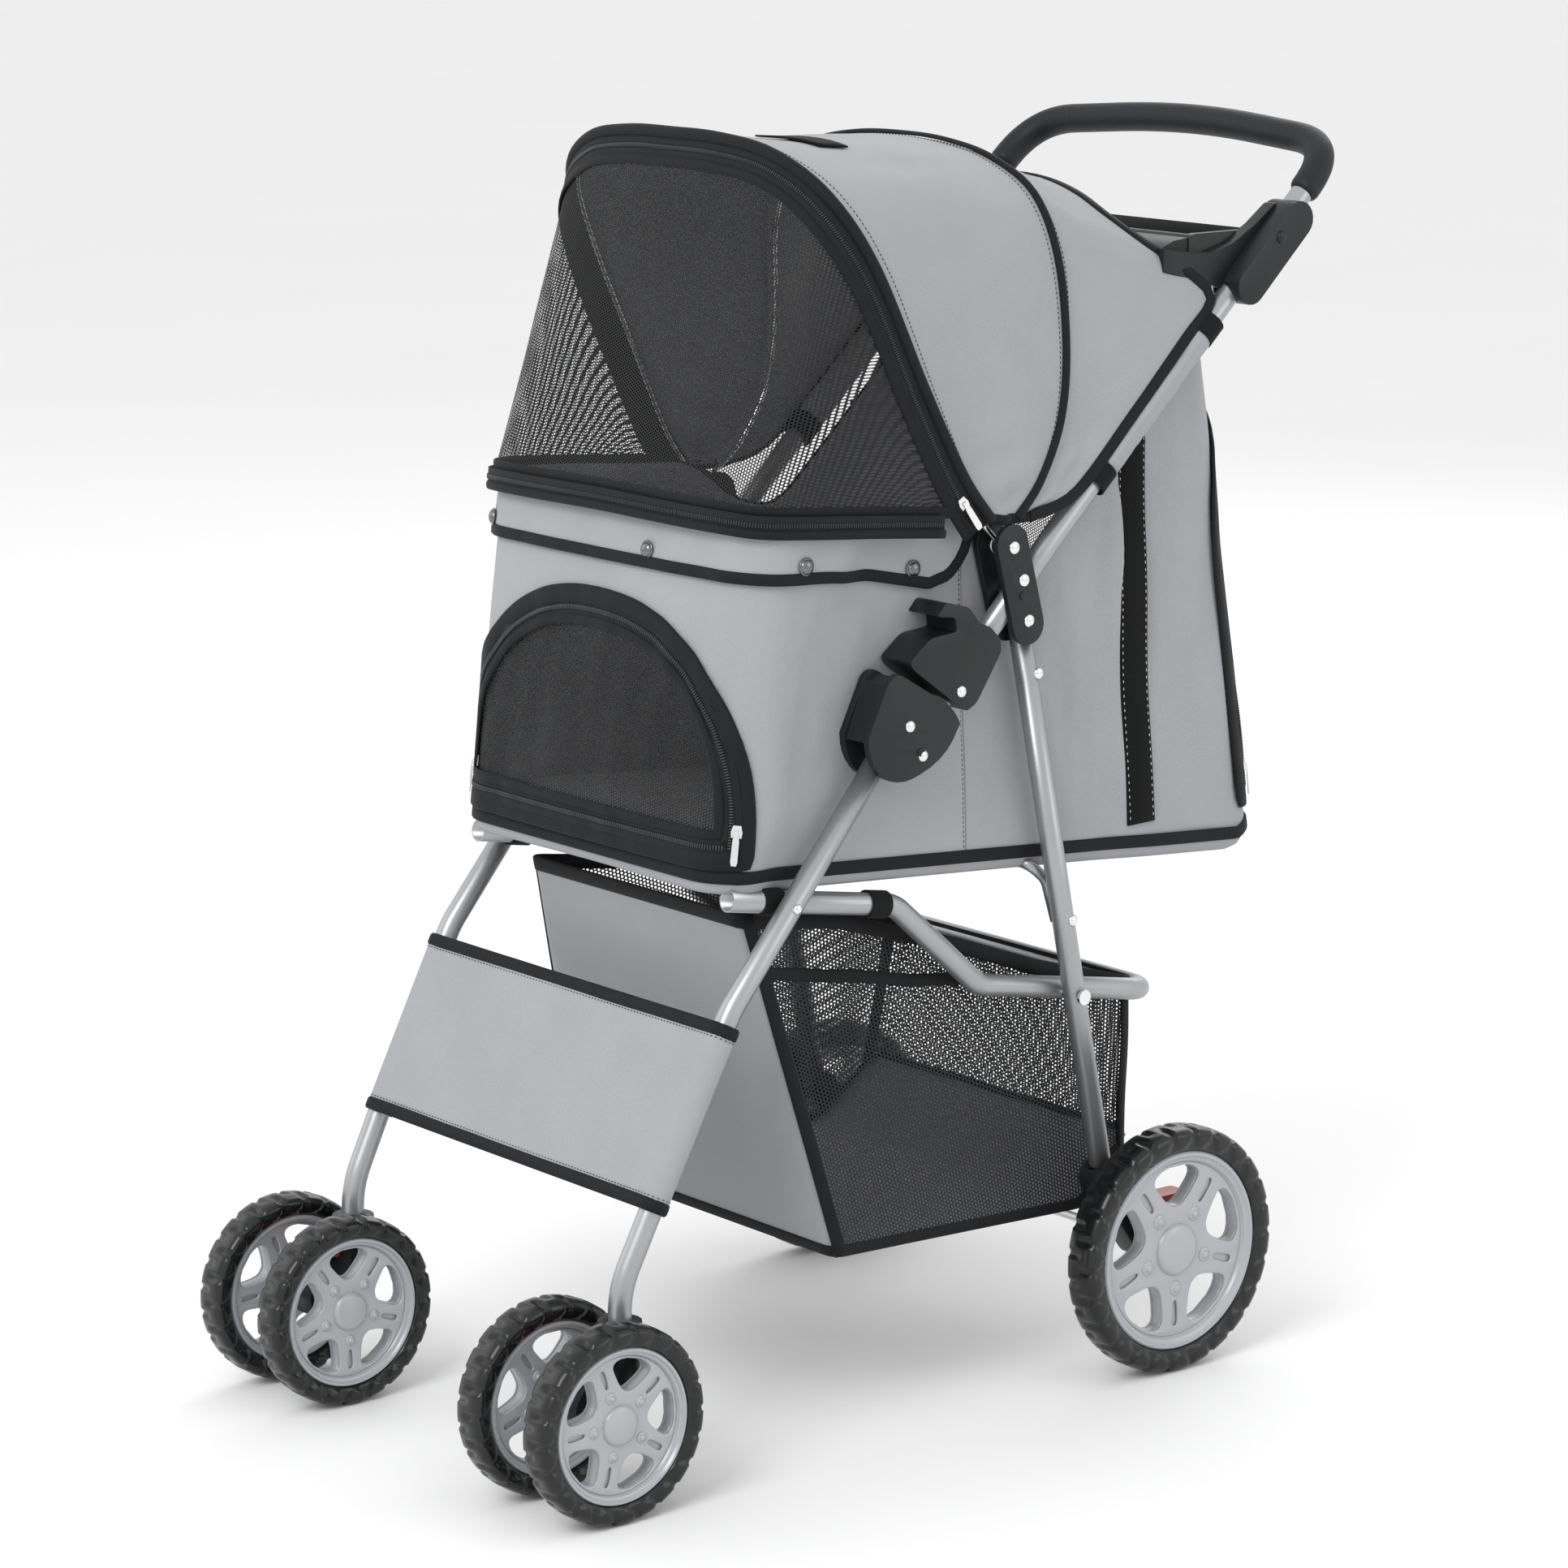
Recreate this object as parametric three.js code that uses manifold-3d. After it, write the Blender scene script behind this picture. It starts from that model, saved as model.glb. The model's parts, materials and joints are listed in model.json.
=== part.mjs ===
// Folding pet stroller. Millimetres, +Z up, front towards -Y, origin on the floor under the middle.
import * as THREE from 'three';
import { mergeVertices } from 'three/addons/utils/BufferGeometryUtils.js';
import Module from 'manifold-3d';

// ---- driving dimensions ----
const TUBE_RADIUS = 8;
const CLEARANCE = 0.3;
const PIN_RADIUS = 3;
const PIN_HEAD_RADIUS = 5.5;
const RAIL_X = 160;
const STEM_X = 156;
const SEAT_RAIL_X = 141.5;
const SIDES = { left: -1, right: 1 };

// fold pivots, as [y, z]
const LOCK_PIVOT = [-38, 477.1];
const LEG_PIVOT = [62.5, 554.5];
const SEAT_PIVOT = [119.65, 280.5];
const SEAT_FRONT_STUD = [-139, 382];
const HOOP_PIVOT = [47, 607.8];
const LOCK_RIVET = [-47.5, 496];
const BRACKET_RIVET = [55, 574];
const LOCK_CHEEKS = { outer: [170, 175.5], inner: [144.6, 149.6] };
const BRACKET_CHEEKS = { outer: [168.4, 173], inner: [147, 151.6] };
const HOLE_REACH = 20;

// wheels
const FRONT_WHEEL = { radius: 67.5, rim: 53.2, width: 26, y: -314, z: 67.5, offset: 36.6, axle: 3 };
const REAR_WHEEL = { radius: 90, rim: 72.5, width: 28, y: 186, z: 90, x: 191.7, axle: 4 };
const STEM_Y = -281;
const SPOKES = 5;

// front legs and handle, as [y, z]
const LEG_TOP = [-40, 500.6];
const LEG_KNEE = [-190, 319];
const LEG_SHIN = [-258, 189];
const LEG_ANKLE = [-281, 143];
const STEM_FOOT = 104;
const REAR_LEG_FOOT = [150, 135];
const HANDLE_BEND = [95, 611];
const HANDLE_CORNER = [362, 864];
const HANDLE_BOW = [370.7, 876];
const HANDLE_CORNER_RADIUS = 42;
const GRIP_START_Y = 326;
const GRIP_RADIUS = 11;

// cabin
const CABIN_HALF_WIDTH = 143;
const CABIN_WALL = 2.6;
const FLOOR_FRONT = [-180, 405];
const FLOOR_REAR = [300, 371];
const REAR_SILL = [318, 385];
const REAR_TOP = [256, 738];
const FRONT_TOP = [-145, 644];
const CABIN_RIM = [[238, 727], [96, 594], [56, 602], [15, 635]];
const FRONT_DOOR = { halfWidth: 130, foot: 8, height: 166 };
const REAR_DOOR = { halfWidth: 118, foot: 14, height: 300 };

// basket
const BASKET = { floorZ: 116, floorHalfWidth: 146, taper: 0.11, wall: 2.4 };

// right half of each canopy edge, as [x, y, z] from the pivot to the middle of the roof
const WINDOW_SILL = [
  [164, 10, 634], [158, -60, 640], [150, -122, 645], [120, -150, 648], [70, -160, 649], [0, -163, 650],
];
const FRONT_ARCH = [
  [164, 14, 645], [162, -26, 722], [158, -66, 805], [140, -92, 852],
  [100, -105, 877], [50, -110, 885], [0, -111, 886],
];
const MIDDLE_ARCH = [
  [164, 62, 632], [162, 98, 672], [161, 103, 740], [156, 99, 800],
  [136, 95, 842], [95, 92, 864], [48, 91, 873], [0, 91, 875],
];
const REAR_ARCH = [
  [163, 92, 640], [160, 152, 694], [157, 214, 752], [143, 208, 800],
  [100, 198, 830], [50, 195, 840], [0, 194, 842],
];
const HOOP_WIRE_RADIUS = 2;
const HOOP_INSET = 7;
const FRONT_HOOP_X = 154.6;
const MIDDLE_HOOP_X = 159.3;

const COLOURS = {
  silver: [0xb9bcc0, 0.35, 0.85],
  fabric: [0xb0b1b6, 0.9, 0],
  mesh: [0x2c2e31, 0.9, 0],
  binding: [0x23262a, 0.85, 0],
  plastic: [0x25282b, 0.45, 0],
  foam: [0x2e3236, 0.8, 0],
  tyre: [0x151617, 0.35, 0],
  rim: [0xa5a8ac, 0.45, 0.1],
  red: [0xa8281e, 0.4, 0],
};

const wasm = await Module();
wasm.setup();
const stroller = new THREE.Group();
stroller.name = 'pet_stroller';

// ---- helpers ----
function add(name, colour, geometry) {
  const [color, roughness, metalness] = COLOURS[colour];
  const mesh = new THREE.Mesh(geometry, new THREE.MeshStandardMaterial({ color, roughness, metalness }));
  mesh.name = name;
  stroller.add(mesh);
}

function toSolid(geometry) {
  const bare = geometry.clone();
  bare.deleteAttribute('normal');
  bare.deleteAttribute('uv');
  const merged = mergeVertices(bare, 1e-3);
  const triVerts = new Uint32Array(merged.index.array);
  const vertProperties = new Float32Array(merged.attributes.position.array);
  return new wasm.Manifold(new wasm.Mesh({ numProp: 3, vertProperties, triVerts }));
}

function toGeometry(solid) {
  const mesh = solid.getMesh();
  const geometry = new THREE.BufferGeometry();
  geometry.setAttribute('position', new THREE.BufferAttribute(mesh.vertProperties, 3));
  geometry.setIndex(new THREE.BufferAttribute(mesh.triVerts, 1));
  geometry.computeVertexNormals();
  return geometry;
}

function join(...pieces) {
  return toGeometry(pieces.map(toSolid).reduce((whole, piece) => whole.add(piece)));
}

function cut(piece, ...tools) {
  return toGeometry(tools.map(toSolid).reduce((whole, tool) => whole.subtract(tool), toSolid(piece)));
}

// A path that steps from station to station, so straight stretches cost one step.
class StationPath extends THREE.Curve {
  constructor(stations) {
    super();
    this.stations = stations;
  }

  getPoint(t, target = new THREE.Vector3()) {
    const place = t * (this.stations.length - 1);
    const index = Math.min(Math.floor(place), this.stations.length - 2);
    return target.lerpVectors(this.stations[index], this.stations[index + 1], place - index);
  }

  getTangent(t, target = new THREE.Vector3()) {
    const last = this.stations.length - 1;
    const index = Math.round(t * last);
    const here = this.stations[index];
    const before = this.stations[Math.max(index - 1, 0)];
    const after = this.stations[Math.min(index + 1, last)];
    const arriving = here.clone().sub(before).normalize();
    const leaving = after.clone().sub(here).normalize();
    return target.copy(arriving).add(leaving).normalize();
  }

  getUtoTmapping(u) {
    return u;
  }
}

// Rounds the corners of a polyline of [x, y, z] points.
function bentPath(points, bendRadius, bendSteps = 4) {
  const corners = points.map((point) => new THREE.Vector3(...point));
  const stations = [corners[0]];
  for (let i = 1; i < corners.length - 1; i += 1) {
    const before = corners[i - 1].clone().sub(corners[i]);
    const after = corners[i + 1].clone().sub(corners[i]);
    const turn = Math.PI - before.angleTo(after);
    const reach = Math.min(bendRadius * Math.tan(turn / 2), before.length() * 0.45, after.length() * 0.45);
    const start = corners[i].clone().add(before.setLength(reach));
    const end = corners[i].clone().add(after.setLength(reach));
    const arc = new THREE.QuadraticBezierCurve3(start, corners[i], end);
    stations.push(...arc.getPoints(bendSteps));
  }
  stations.push(corners.at(-1));
  return stations;
}

function polygonShape(radius, sides) {
  const points = [];
  for (let i = 0; i < sides; i += 1) {
    const angle = (i * 2 * Math.PI) / sides;
    points.push(new THREE.Vector2(radius * Math.cos(angle), radius * Math.sin(angle)));
  }
  return points;
}

function tube(stations, radius, { sides = 10, bore = 0 } = {}) {
  const shape = new THREE.Shape(polygonShape(radius, sides));
  if (bore > 0) shape.holes.push(new THREE.Path(polygonShape(bore, sides)));
  const extrudePath = new StationPath(stations);
  return new THREE.ExtrudeGeometry(shape, { steps: stations.length - 1, extrudePath, bevelEnabled: false });
}

// A straight round bar between two [x, y, z] points.
function bar(from, to, radius, sides = 12) {
  const start = new THREE.Vector3(...from);
  const span = new THREE.Vector3(...to).sub(start);
  const geometry = new THREE.CylinderGeometry(radius, radius, span.length(), sides);
  geometry.translate(0, span.length() / 2, 0);
  const upright = new THREE.Vector3(0, 1, 0);
  const turn = new THREE.Quaternion().setFromUnitVectors(upright, span.clone().normalize());
  geometry.applyQuaternion(turn);
  return geometry.translate(start.x, start.y, start.z);
}

// A bar along X through [y, z].
function pin([y, z], radius, x0, x1, sides = 12) {
  return bar([Math.min(x0, x1), y, z], [Math.max(x0, x1), y, z], radius, sides);
}

// A running-clearance hole for a pin through the tube at x.
function crossHole(at, x, radius = PIN_RADIUS) {
  return pin(at, radius + CLEARANCE, x - HOLE_REACH, x + HOLE_REACH);
}

// Extrudes a shape drawn in (y, z) along X.
function sideSlab(shape, x0, x1, curveSegments = 5) {
  const depth = Math.abs(x1 - x0);
  const geometry = new THREE.ExtrudeGeometry(shape, { depth, bevelEnabled: false, curveSegments });
  const basis = new THREE.Matrix4().makeBasis(
    new THREE.Vector3(0, 1, 0), new THREE.Vector3(0, 0, 1), new THREE.Vector3(1, 0, 0),
  );
  return geometry.applyMatrix4(basis).translate(Math.min(x0, x1), 0, 0);
}

function outline(points) {
  return new THREE.Shape(points.map(([y, z]) => new THREE.Vector2(y, z)));
}

// A polygon with every corner rounded off by a quadratic curve.
function softOutline(points, softness = 0.3) {
  const corners = points.map(([y, z]) => new THREE.Vector2(y, z));
  const shape = new THREE.Shape();
  corners.forEach((corner, i) => {
    const before = corners.at(i - 1);
    const after = corners[(i + 1) % corners.length];
    const arrive = corner.clone().lerp(before, softness);
    const leave = corner.clone().lerp(after, softness);
    if (i === 0) shape.moveTo(arrive.x, arrive.y);
    else shape.lineTo(arrive.x, arrive.y);
    shape.quadraticCurveTo(corner.x, corner.y, leave.x, leave.y);
  });
  return shape;
}

// A capsule outline around two [y, z] centres.
function capsule(from, to, radius) {
  const start = new THREE.Vector2(...from);
  const end = new THREE.Vector2(...to);
  const heading = end.clone().sub(start).angle();
  const shape = new THREE.Shape();
  shape.absarc(end.x, end.y, radius, heading - Math.PI / 2, heading + Math.PI / 2);
  shape.absarc(start.x, start.y, radius, heading + Math.PI / 2, heading + 1.5 * Math.PI);
  return shape;
}

// Extrudes a shape drawn on a leaning panel whose foot is at [y, z] and whose up direction is [dy, dz].
function leaningSlab(shape, foot, up, depth, offset) {
  const geometry = new THREE.ExtrudeGeometry(shape, { depth, bevelEnabled: false, curveSegments: 7 });
  const upward = new THREE.Vector3(0, ...up).normalize();
  const sideways = new THREE.Vector3(1, 0, 0);
  const outward = sideways.clone().cross(upward);
  geometry.translate(0, 0, offset);
  geometry.applyMatrix4(new THREE.Matrix4().makeBasis(sideways, upward, outward));
  return geometry.translate(0, ...foot);
}

function meshVolume(geometry) {
  const position = geometry.attributes.position;
  const corner = [0, 1, 2].map(() => new THREE.Vector3());
  let volume = 0;
  for (let i = 0; i < geometry.index.count; i += 3) {
    corner.forEach((point, k) => point.fromBufferAttribute(position, geometry.index.getX(i + k)));
    volume += corner[0].dot(corner[1].clone().cross(corner[2])) / 6;
  }
  return volume;
}

// Thickens a grid of points into one closed curved sheet.
function thickSheet(grid, thickness) {
  const rows = grid.length;
  const columns = grid[0].length;
  const normal = (i, j) => {
    const along = grid[Math.min(i + 1, rows - 1)][j].clone().sub(grid[Math.max(i - 1, 0)][j]);
    const across = grid[i][Math.min(j + 1, columns - 1)].clone().sub(grid[i][Math.max(j - 1, 0)]);
    return along.cross(across).normalize();
  };
  const positions = [];
  for (const side of [0.5, -0.5]) {
    grid.forEach((row, i) => row.forEach((point, j) => {
      positions.push(...point.clone().addScaledVector(normal(i, j), side * thickness).toArray());
    }));
  }
  const top = (i, j) => i * columns + j;
  const under = (i, j) => rows * columns + top(i, j);
  const faces = [];
  const quad = (a, b, c, d) => faces.push(a, b, c, a, c, d);
  for (let i = 0; i < rows - 1; i += 1) {
    for (let j = 0; j < columns - 1; j += 1) {
      quad(top(i, j), top(i + 1, j), top(i + 1, j + 1), top(i, j + 1));
      quad(under(i, j), under(i, j + 1), under(i + 1, j + 1), under(i + 1, j));
    }
  }
  const lastRow = rows - 1;
  const lastColumn = columns - 1;
  for (let i = 0; i < lastRow; i += 1) {
    quad(under(i, 0), under(i + 1, 0), top(i + 1, 0), top(i, 0));
    quad(top(i, lastColumn), top(i + 1, lastColumn), under(i + 1, lastColumn), under(i, lastColumn));
  }
  for (let j = 0; j < lastColumn; j += 1) {
    quad(top(0, j), top(0, j + 1), under(0, j + 1), under(0, j));
    quad(under(lastRow, j), under(lastRow, j + 1), top(lastRow, j + 1), top(lastRow, j));
  }
  const geometry = new THREE.BufferGeometry();
  geometry.setAttribute('position', new THREE.Float32BufferAttribute(positions, 3));
  geometry.setIndex(faces);
  if (meshVolume(geometry) < 0) {
    for (let i = 0; i < faces.length; i += 3) [faces[i], faces[i + 1]] = [faces[i + 1], faces[i]];
    geometry.setIndex(faces);
  }
  geometry.computeVertexNormals();
  return geometry;
}

// ---- front frame ----
function frontLeg(side) {
  const x = side * RAIL_X;
  const stemX = side * STEM_X;
  const path = [
    [x, ...LEG_TOP],
    [x, ...LEG_KNEE],
    [side * (RAIL_X - 2.5), ...LEG_SHIN],
    [stemX, ...LEG_ANKLE],
    [stemX, LEG_ANKLE[0], STEM_FOOT],
  ];
  const leg = tube(bentPath(path, 70, 2), TUBE_RADIUS);
  const stud = pin(SEAT_FRONT_STUD, PIN_RADIUS, side * (RAIL_X - 9), side * (RAIL_X + 9));
  const head = pin(SEAT_FRONT_STUD, PIN_HEAD_RADIUS, side * (RAIL_X + 7), side * (RAIL_X + 10.5));
  const rivetHole = crossHole(LOCK_RIVET, x);
  return cut(join(leg, stud, head), rivetHole);
}

function lockLeaf() {
  const sweep = 38.5;
  const shape = new THREE.Shape();
  shape.moveTo(-84, 492);
  shape.quadraticCurveTo(-84, 474, -70, 463);
  shape.quadraticCurveTo(-56, 455, -38, 462);
  shape.quadraticCurveTo(-14, 470, -5, 489);
  shape.absarc(...LOCK_PIVOT, sweep, Math.atan2(15, 35), Math.PI * 0.3, false);
  shape.lineTo(-54, 531);
  shape.quadraticCurveTo(-60, 535, -66, 528);
  shape.lineTo(-84, 492);
  return shape;
}

function lockBase(side) {
  const plates = Object.values(LOCK_CHEEKS).map(([near, far]) => (
    sideSlab(lockLeaf(), side * near, side * far)
  ));
  const frontWall = outline([[-82, 488], [-66, 526], [-56, 530], [-52, 524], [-60, 519], [-75, 486]]);
  const inner = LOCK_CHEEKS.inner[0] + 0.2;
  const outer = LOCK_CHEEKS.outer[1] - 0.2;
  const wall = sideSlab(frontWall, side * inner, side * outer);
  const pins = [LOCK_RIVET, LOCK_PIVOT].map((place) => (
    pin(place, PIN_RADIUS, side * inner, side * (outer + 1.7))
  ));
  return join(...plates, wall, ...pins);
}

// A fabric band in front of the shins, standing off the tubes.
function footrest() {
  const lower = new THREE.Vector2(...LEG_SHIN);
  const along = new THREE.Vector2(...LEG_KNEE).sub(lower).normalize();
  const halfWidth = RAIL_X + TUBE_RADIUS;
  const band = outline([[-halfWidth, 8], [halfWidth, 8], [halfWidth, 132], [-halfWidth, 132]]);
  return leaningSlab(band, LEG_SHIN, [along.x, along.y], 3, TUBE_RADIUS + 1);
}

// ---- casters and wheels ----
function tyre({ radius, rim, width }, sides) {
  const half = width / 2;
  const inner = rim + CLEARANCE;
  const shoulder = radius - 4.5;
  const profile = [
    [inner, -half + 2], [radius - 9, -half], [shoulder, -half + 1.5], [radius, -half + 6],
    [radius, half - 6], [shoulder, half - 1.5], [radius - 9, half], [inner, half - 2], [inner, -half + 2],
  ].map(([r, x]) => new THREE.Vector2(r, x));
  return new THREE.LatheGeometry(profile, sides).rotateZ(-Math.PI / 2);
}

function spokeWindow(innerRadius, outerRadius, middle, halfSpoke) {
  const points = [];
  const edge = (radius) => Math.PI / SPOKES - Math.asin(halfSpoke / radius);
  for (const step of [-1, 0, 1]) {
    const angle = middle + step * edge(outerRadius);
    points.push(new THREE.Vector2(outerRadius * Math.cos(angle), outerRadius * Math.sin(angle)));
  }
  for (const step of [1, 0, -1]) {
    const angle = middle + step * edge(innerRadius);
    points.push(new THREE.Vector2(innerRadius * Math.cos(angle), innerRadius * Math.sin(angle)));
  }
  return new THREE.Path(points);
}

// Rim with its hub; outward is +1 or -1, the way the closed hub cap faces.
function rim({ rim: radius, width, axle }, outward, sides) {
  const half = width / 2 - 3;
  const disc = new THREE.Shape(polygonShape(radius, sides));
  for (let i = 0; i < SPOKES; i += 1) {
    disc.holes.push(spokeWindow(radius * 0.36, radius * 0.82, (i * 2 * Math.PI) / SPOKES, radius * 0.13));
  }
  const web = sideSlab(disc, -half, half);
  const cap = pin([0, 0], radius * 0.24, 0, outward * (half + 4), 16);
  const bore = pin([0, 0], axle + CLEARANCE, -outward * (half + 5), outward * (half - 1));
  return cut(join(web, cap), bore);
}

function addWheel(name, size, [x, y, z], outward, sides) {
  add(`${name}_tyre`, 'tyre', tyre(size, sides).translate(x, y, z));
  add(`${name}_rim`, 'rim', rim(size, outward, sides).translate(x, y, z));
}

function casterFork(side) {
  const x = side * STEM_X;
  const arm = softOutline([[-267, 112], [-296, 112], [-327, 74], [-322, 55], [-304, 55], [-266, 86]], 0.25);
  const body = sideSlab(arm, x - 11, x + 11);
  const cup = bar([x, STEM_Y, 82], [x, STEM_Y, 122], 15, 16);
  const stemHole = bar([x, STEM_Y, STEM_FOOT - CLEARANCE], [x, STEM_Y, 130], TUBE_RADIUS + CLEARANCE, 12);
  const axleHole = crossHole([FRONT_WHEEL.y, FRONT_WHEEL.z], x, FRONT_WHEEL.axle);
  const tabRoom = outline([[-330, 96], [-300, 96], [-300, 116], [-330, 116]]);
  const tabSpace = sideSlab(tabRoom, x - HOLE_REACH, x + HOLE_REACH);
  return cut(join(body, cup), stemHole, axleHole, tabSpace);
}

function swivelTab(side) {
  const x = side * STEM_X;
  return sideSlab(softOutline([[-302, 97.5], [-302, 103], [-318, 106], [-320, 101]], 0.2), x - 13, x + 13);
}

function addCaster(sideName, side) {
  const x = side * STEM_X;
  const reach = FRONT_WHEEL.offset + FRONT_WHEEL.width / 2 - 4.6;
  const axleAt = [FRONT_WHEEL.y, FRONT_WHEEL.z];
  add(`caster_fork_${sideName}`, 'plastic', casterFork(side));
  add(`swivel_tab_${sideName}`, 'red', swivelTab(side));
  add(`front_axle_${sideName}`, 'silver', pin(axleAt, FRONT_WHEEL.axle, x - reach, x + reach));
  for (const [place, outward] of [['outer', side], ['inner', -side]]) {
    const at = [x + outward * FRONT_WHEEL.offset, ...axleAt];
    addWheel(`front_${sideName}_${place}`, FRONT_WHEEL, at, outward, 20);
  }
}

// ---- rear frame ----
function rearLeg(side) {
  const x = side * RAIL_X;
  const leg = tube([REAR_LEG_FOOT, LEG_PIVOT].map((at) => new THREE.Vector3(x, ...at)), TUBE_RADIUS);
  const eye = pin(LEG_PIVOT, TUBE_RADIUS, x - 7.6, x + 7.6, 16);
  const holes = [LEG_PIVOT, SEAT_PIVOT].map((at) => crossHole(at, x));
  return cut(join(leg, eye), ...holes);
}

function axleBracket(side) {
  const x = side * RAIL_X;
  const body = sideSlab(capsule([148, 142], [REAR_WHEEL.y, REAR_WHEEL.z], 13), x - 11, x + 11);
  const foot = new THREE.Vector3(x, ...REAR_LEG_FOOT);
  const up = new THREE.Vector3(x, ...LEG_PIVOT).sub(foot).normalize();
  const low = foot.clone().addScaledVector(up, -CLEARANCE);
  const socket = bar(low.toArray(), foot.clone().addScaledVector(up, 60).toArray(), TUBE_RADIUS + CLEARANCE);
  const axleHole = crossHole([REAR_WHEEL.y, REAR_WHEEL.z], x, REAR_WHEEL.axle);
  return cut(body, socket, axleHole);
}

function brakePedal(side) {
  const lever = softOutline([[193, 106], [203, 103], [228, 108], [232, 114], [226, 120], [187, 120]], 0.25);
  return sideSlab(lever, side * (RAIL_X - 9), side * (RAIL_X + 9));
}

function seatPivotPin(side) {
  const shank = pin(SEAT_PIVOT, PIN_RADIUS, side * 131, side * 170);
  const heads = [[130, 133], [168.4, 171]].map(([x0, x1]) => (
    pin(SEAT_PIVOT, PIN_HEAD_RADIUS, side * x0, side * x1)
  ));
  return join(shank, ...heads);
}

function floorHoop() {
  const x = 145.5;
  const leg = [[114, 333], [104, 364], [88, 377]];
  const rightHalf = leg.map(([y, z]) => [x, y, z]);
  const path = [...rightHalf, ...rightHalf.map(([, y, z]) => [-x, y, z]).reverse()];
  return tube(bentPath(path, 18, 3), 4, { sides: 8 });
}

// ---- handle ----
function mirrored(points) {
  return [...points, ...points.slice(0, -1).reverse().map(([x, ...rest]) => [-x, ...rest])];
}

function handlePath() {
  const half = [
    [RAIL_X, ...LOCK_PIVOT], [RAIL_X, ...HANDLE_BEND], [RAIL_X, ...HANDLE_CORNER], [0, ...HANDLE_BOW],
  ];
  return bentPath(mirrored(half), HANDLE_CORNER_RADIUS);
}

function handleTube() {
  let frame = tube(handlePath(), TUBE_RADIUS);
  for (const side of Object.values(SIDES)) {
    const x = side * RAIL_X;
    frame = join(frame, pin(LOCK_PIVOT, TUBE_RADIUS, x - 7.6, x + 7.6, 16));
    const holes = [LOCK_PIVOT, BRACKET_RIVET].map((at) => crossHole(at, x));
    frame = cut(frame, ...holes);
  }
  return frame;
}

function foamGrip() {
  const rise = (HANDLE_CORNER[1] - HANDLE_BEND[1]) / (HANDLE_CORNER[0] - HANDLE_BEND[0]);
  const startZ = HANDLE_BEND[1] + (GRIP_START_Y - HANDLE_BEND[0]) * rise;
  const gripped = handlePath().filter(({ y }) => y > GRIP_START_Y);
  const ends = [1, -1].map((side) => new THREE.Vector3(side * RAIL_X, GRIP_START_Y, startZ));
  return tube([ends[0], ...gripped, ends[1]], GRIP_RADIUS, { bore: TUBE_RADIUS + 0.5 });
}

function jointBracket(side) {
  const plates = Object.values(BRACKET_CHEEKS).map(([near, far]) => (
    sideSlab(capsule([46, 610], [61, 553], 14), side * near, side * far)
  ));
  const pins = [HOOP_PIVOT, BRACKET_RIVET, LEG_PIVOT].map((at) => (
    pin(at, PIN_RADIUS, side * 147.2, side * 174.6)
  ));
  return join(...plates, ...pins);
}

function lockCollar(side) {
  const profile = softOutline([
    [-50, 538], [2, 500], [12, 505], [34, 538], [33, 547], [24, 556], [14, 560], [4, 572], [-16, 577],
    [-24, 568], [-8, 566], [-6, 556], [-30, 554],
  ], 0.2);
  const body = sideSlab(profile, side * LOCK_CHEEKS.inner[0], side * LOCK_CHEEKS.outer[1]);
  const x = side * RAIL_X;
  const throughTube = bar([x, ...LOCK_PIVOT], [x, ...HANDLE_BEND], TUBE_RADIUS + CLEARANCE + 0.1);
  return cut(body, throughTube);
}

function tray() {
  const halfLength = 150;
  const wall = 6;
  const outside = softOutline([[228, 783], [236, 773], [292, 773], [300, 790], [298, 808], [228, 808]], 0.15);
  const inside = softOutline([[233, 786], [239, 778], [288, 778], [294, 790], [293, 820], [233, 820]], 0.15);
  const dish = sideSlab(outside, -halfLength, halfLength);
  let body = cut(dish, sideSlab(inside, wall - halfLength, halfLength - wall));
  const clamp = capsule([266, 771], [312, 815], 13);
  for (const side of Object.values(SIDES)) {
    body = join(body, sideSlab(clamp, side * 148.5, side * 175));
    const low = new THREE.Vector3(side * RAIL_X, ...HANDLE_BEND);
    const high = new THREE.Vector3(side * RAIL_X, ...HANDLE_CORNER);
    body = cut(body, bar(low.toArray(), high.toArray(), TUBE_RADIUS + CLEARANCE, 12));
  }
  return body;
}

// ---- seat frame, cabin and basket ----
function seatTube() {
  const half = [
    [SEAT_RAIL_X, -178, 389], [SEAT_RAIL_X, -33, 365], [SEAT_RAIL_X, 45, 296],
    [SEAT_RAIL_X, 213, 266], [0, 213, 266],
  ];
  let frame = tube(bentPath(mirrored(half), 30, 4), TUBE_RADIUS);
  for (const side of Object.values(SIDES)) {
    const x = side * SEAT_RAIL_X;
    const mouth = bar([x, -180, 389.33], [x, -150, 384.4], TUBE_RADIUS - 1.3);
    frame = cut(frame, mouth, crossHole(SEAT_PIVOT, x));
  }
  return frame;
}

// Side view of the cabin, drawn inset from floor, front and back, and closed along the given top edge.
function cabinProfile(inset, topEdge) {
  return outline([
    [FLOOR_FRONT[0] + inset, FLOOR_FRONT[1] + inset],
    [FLOOR_REAR[0] - inset * 0.6, FLOOR_REAR[1] + inset],
    [REAR_SILL[0] - inset * 1.1, REAR_SILL[1] + inset * 0.6],
    ...topEdge,
    [FRONT_TOP[0] + inset, FRONT_TOP[1]],
  ]);
}

function doorShape({ halfWidth, foot, height }) {
  const shape = new THREE.Shape();
  shape.moveTo(-halfWidth, foot);
  shape.lineTo(halfWidth, foot);
  shape.bezierCurveTo(halfWidth, foot + height * 0.75, halfWidth * 0.62, foot + height, 0, foot + height);
  shape.bezierCurveTo(-halfWidth * 0.62, foot + height, -halfWidth, foot + height * 0.75, -halfWidth, foot);
  return shape;
}

const FRONT_UP = [FRONT_TOP[0] - FLOOR_FRONT[0], FRONT_TOP[1] - FLOOR_FRONT[1]];
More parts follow.
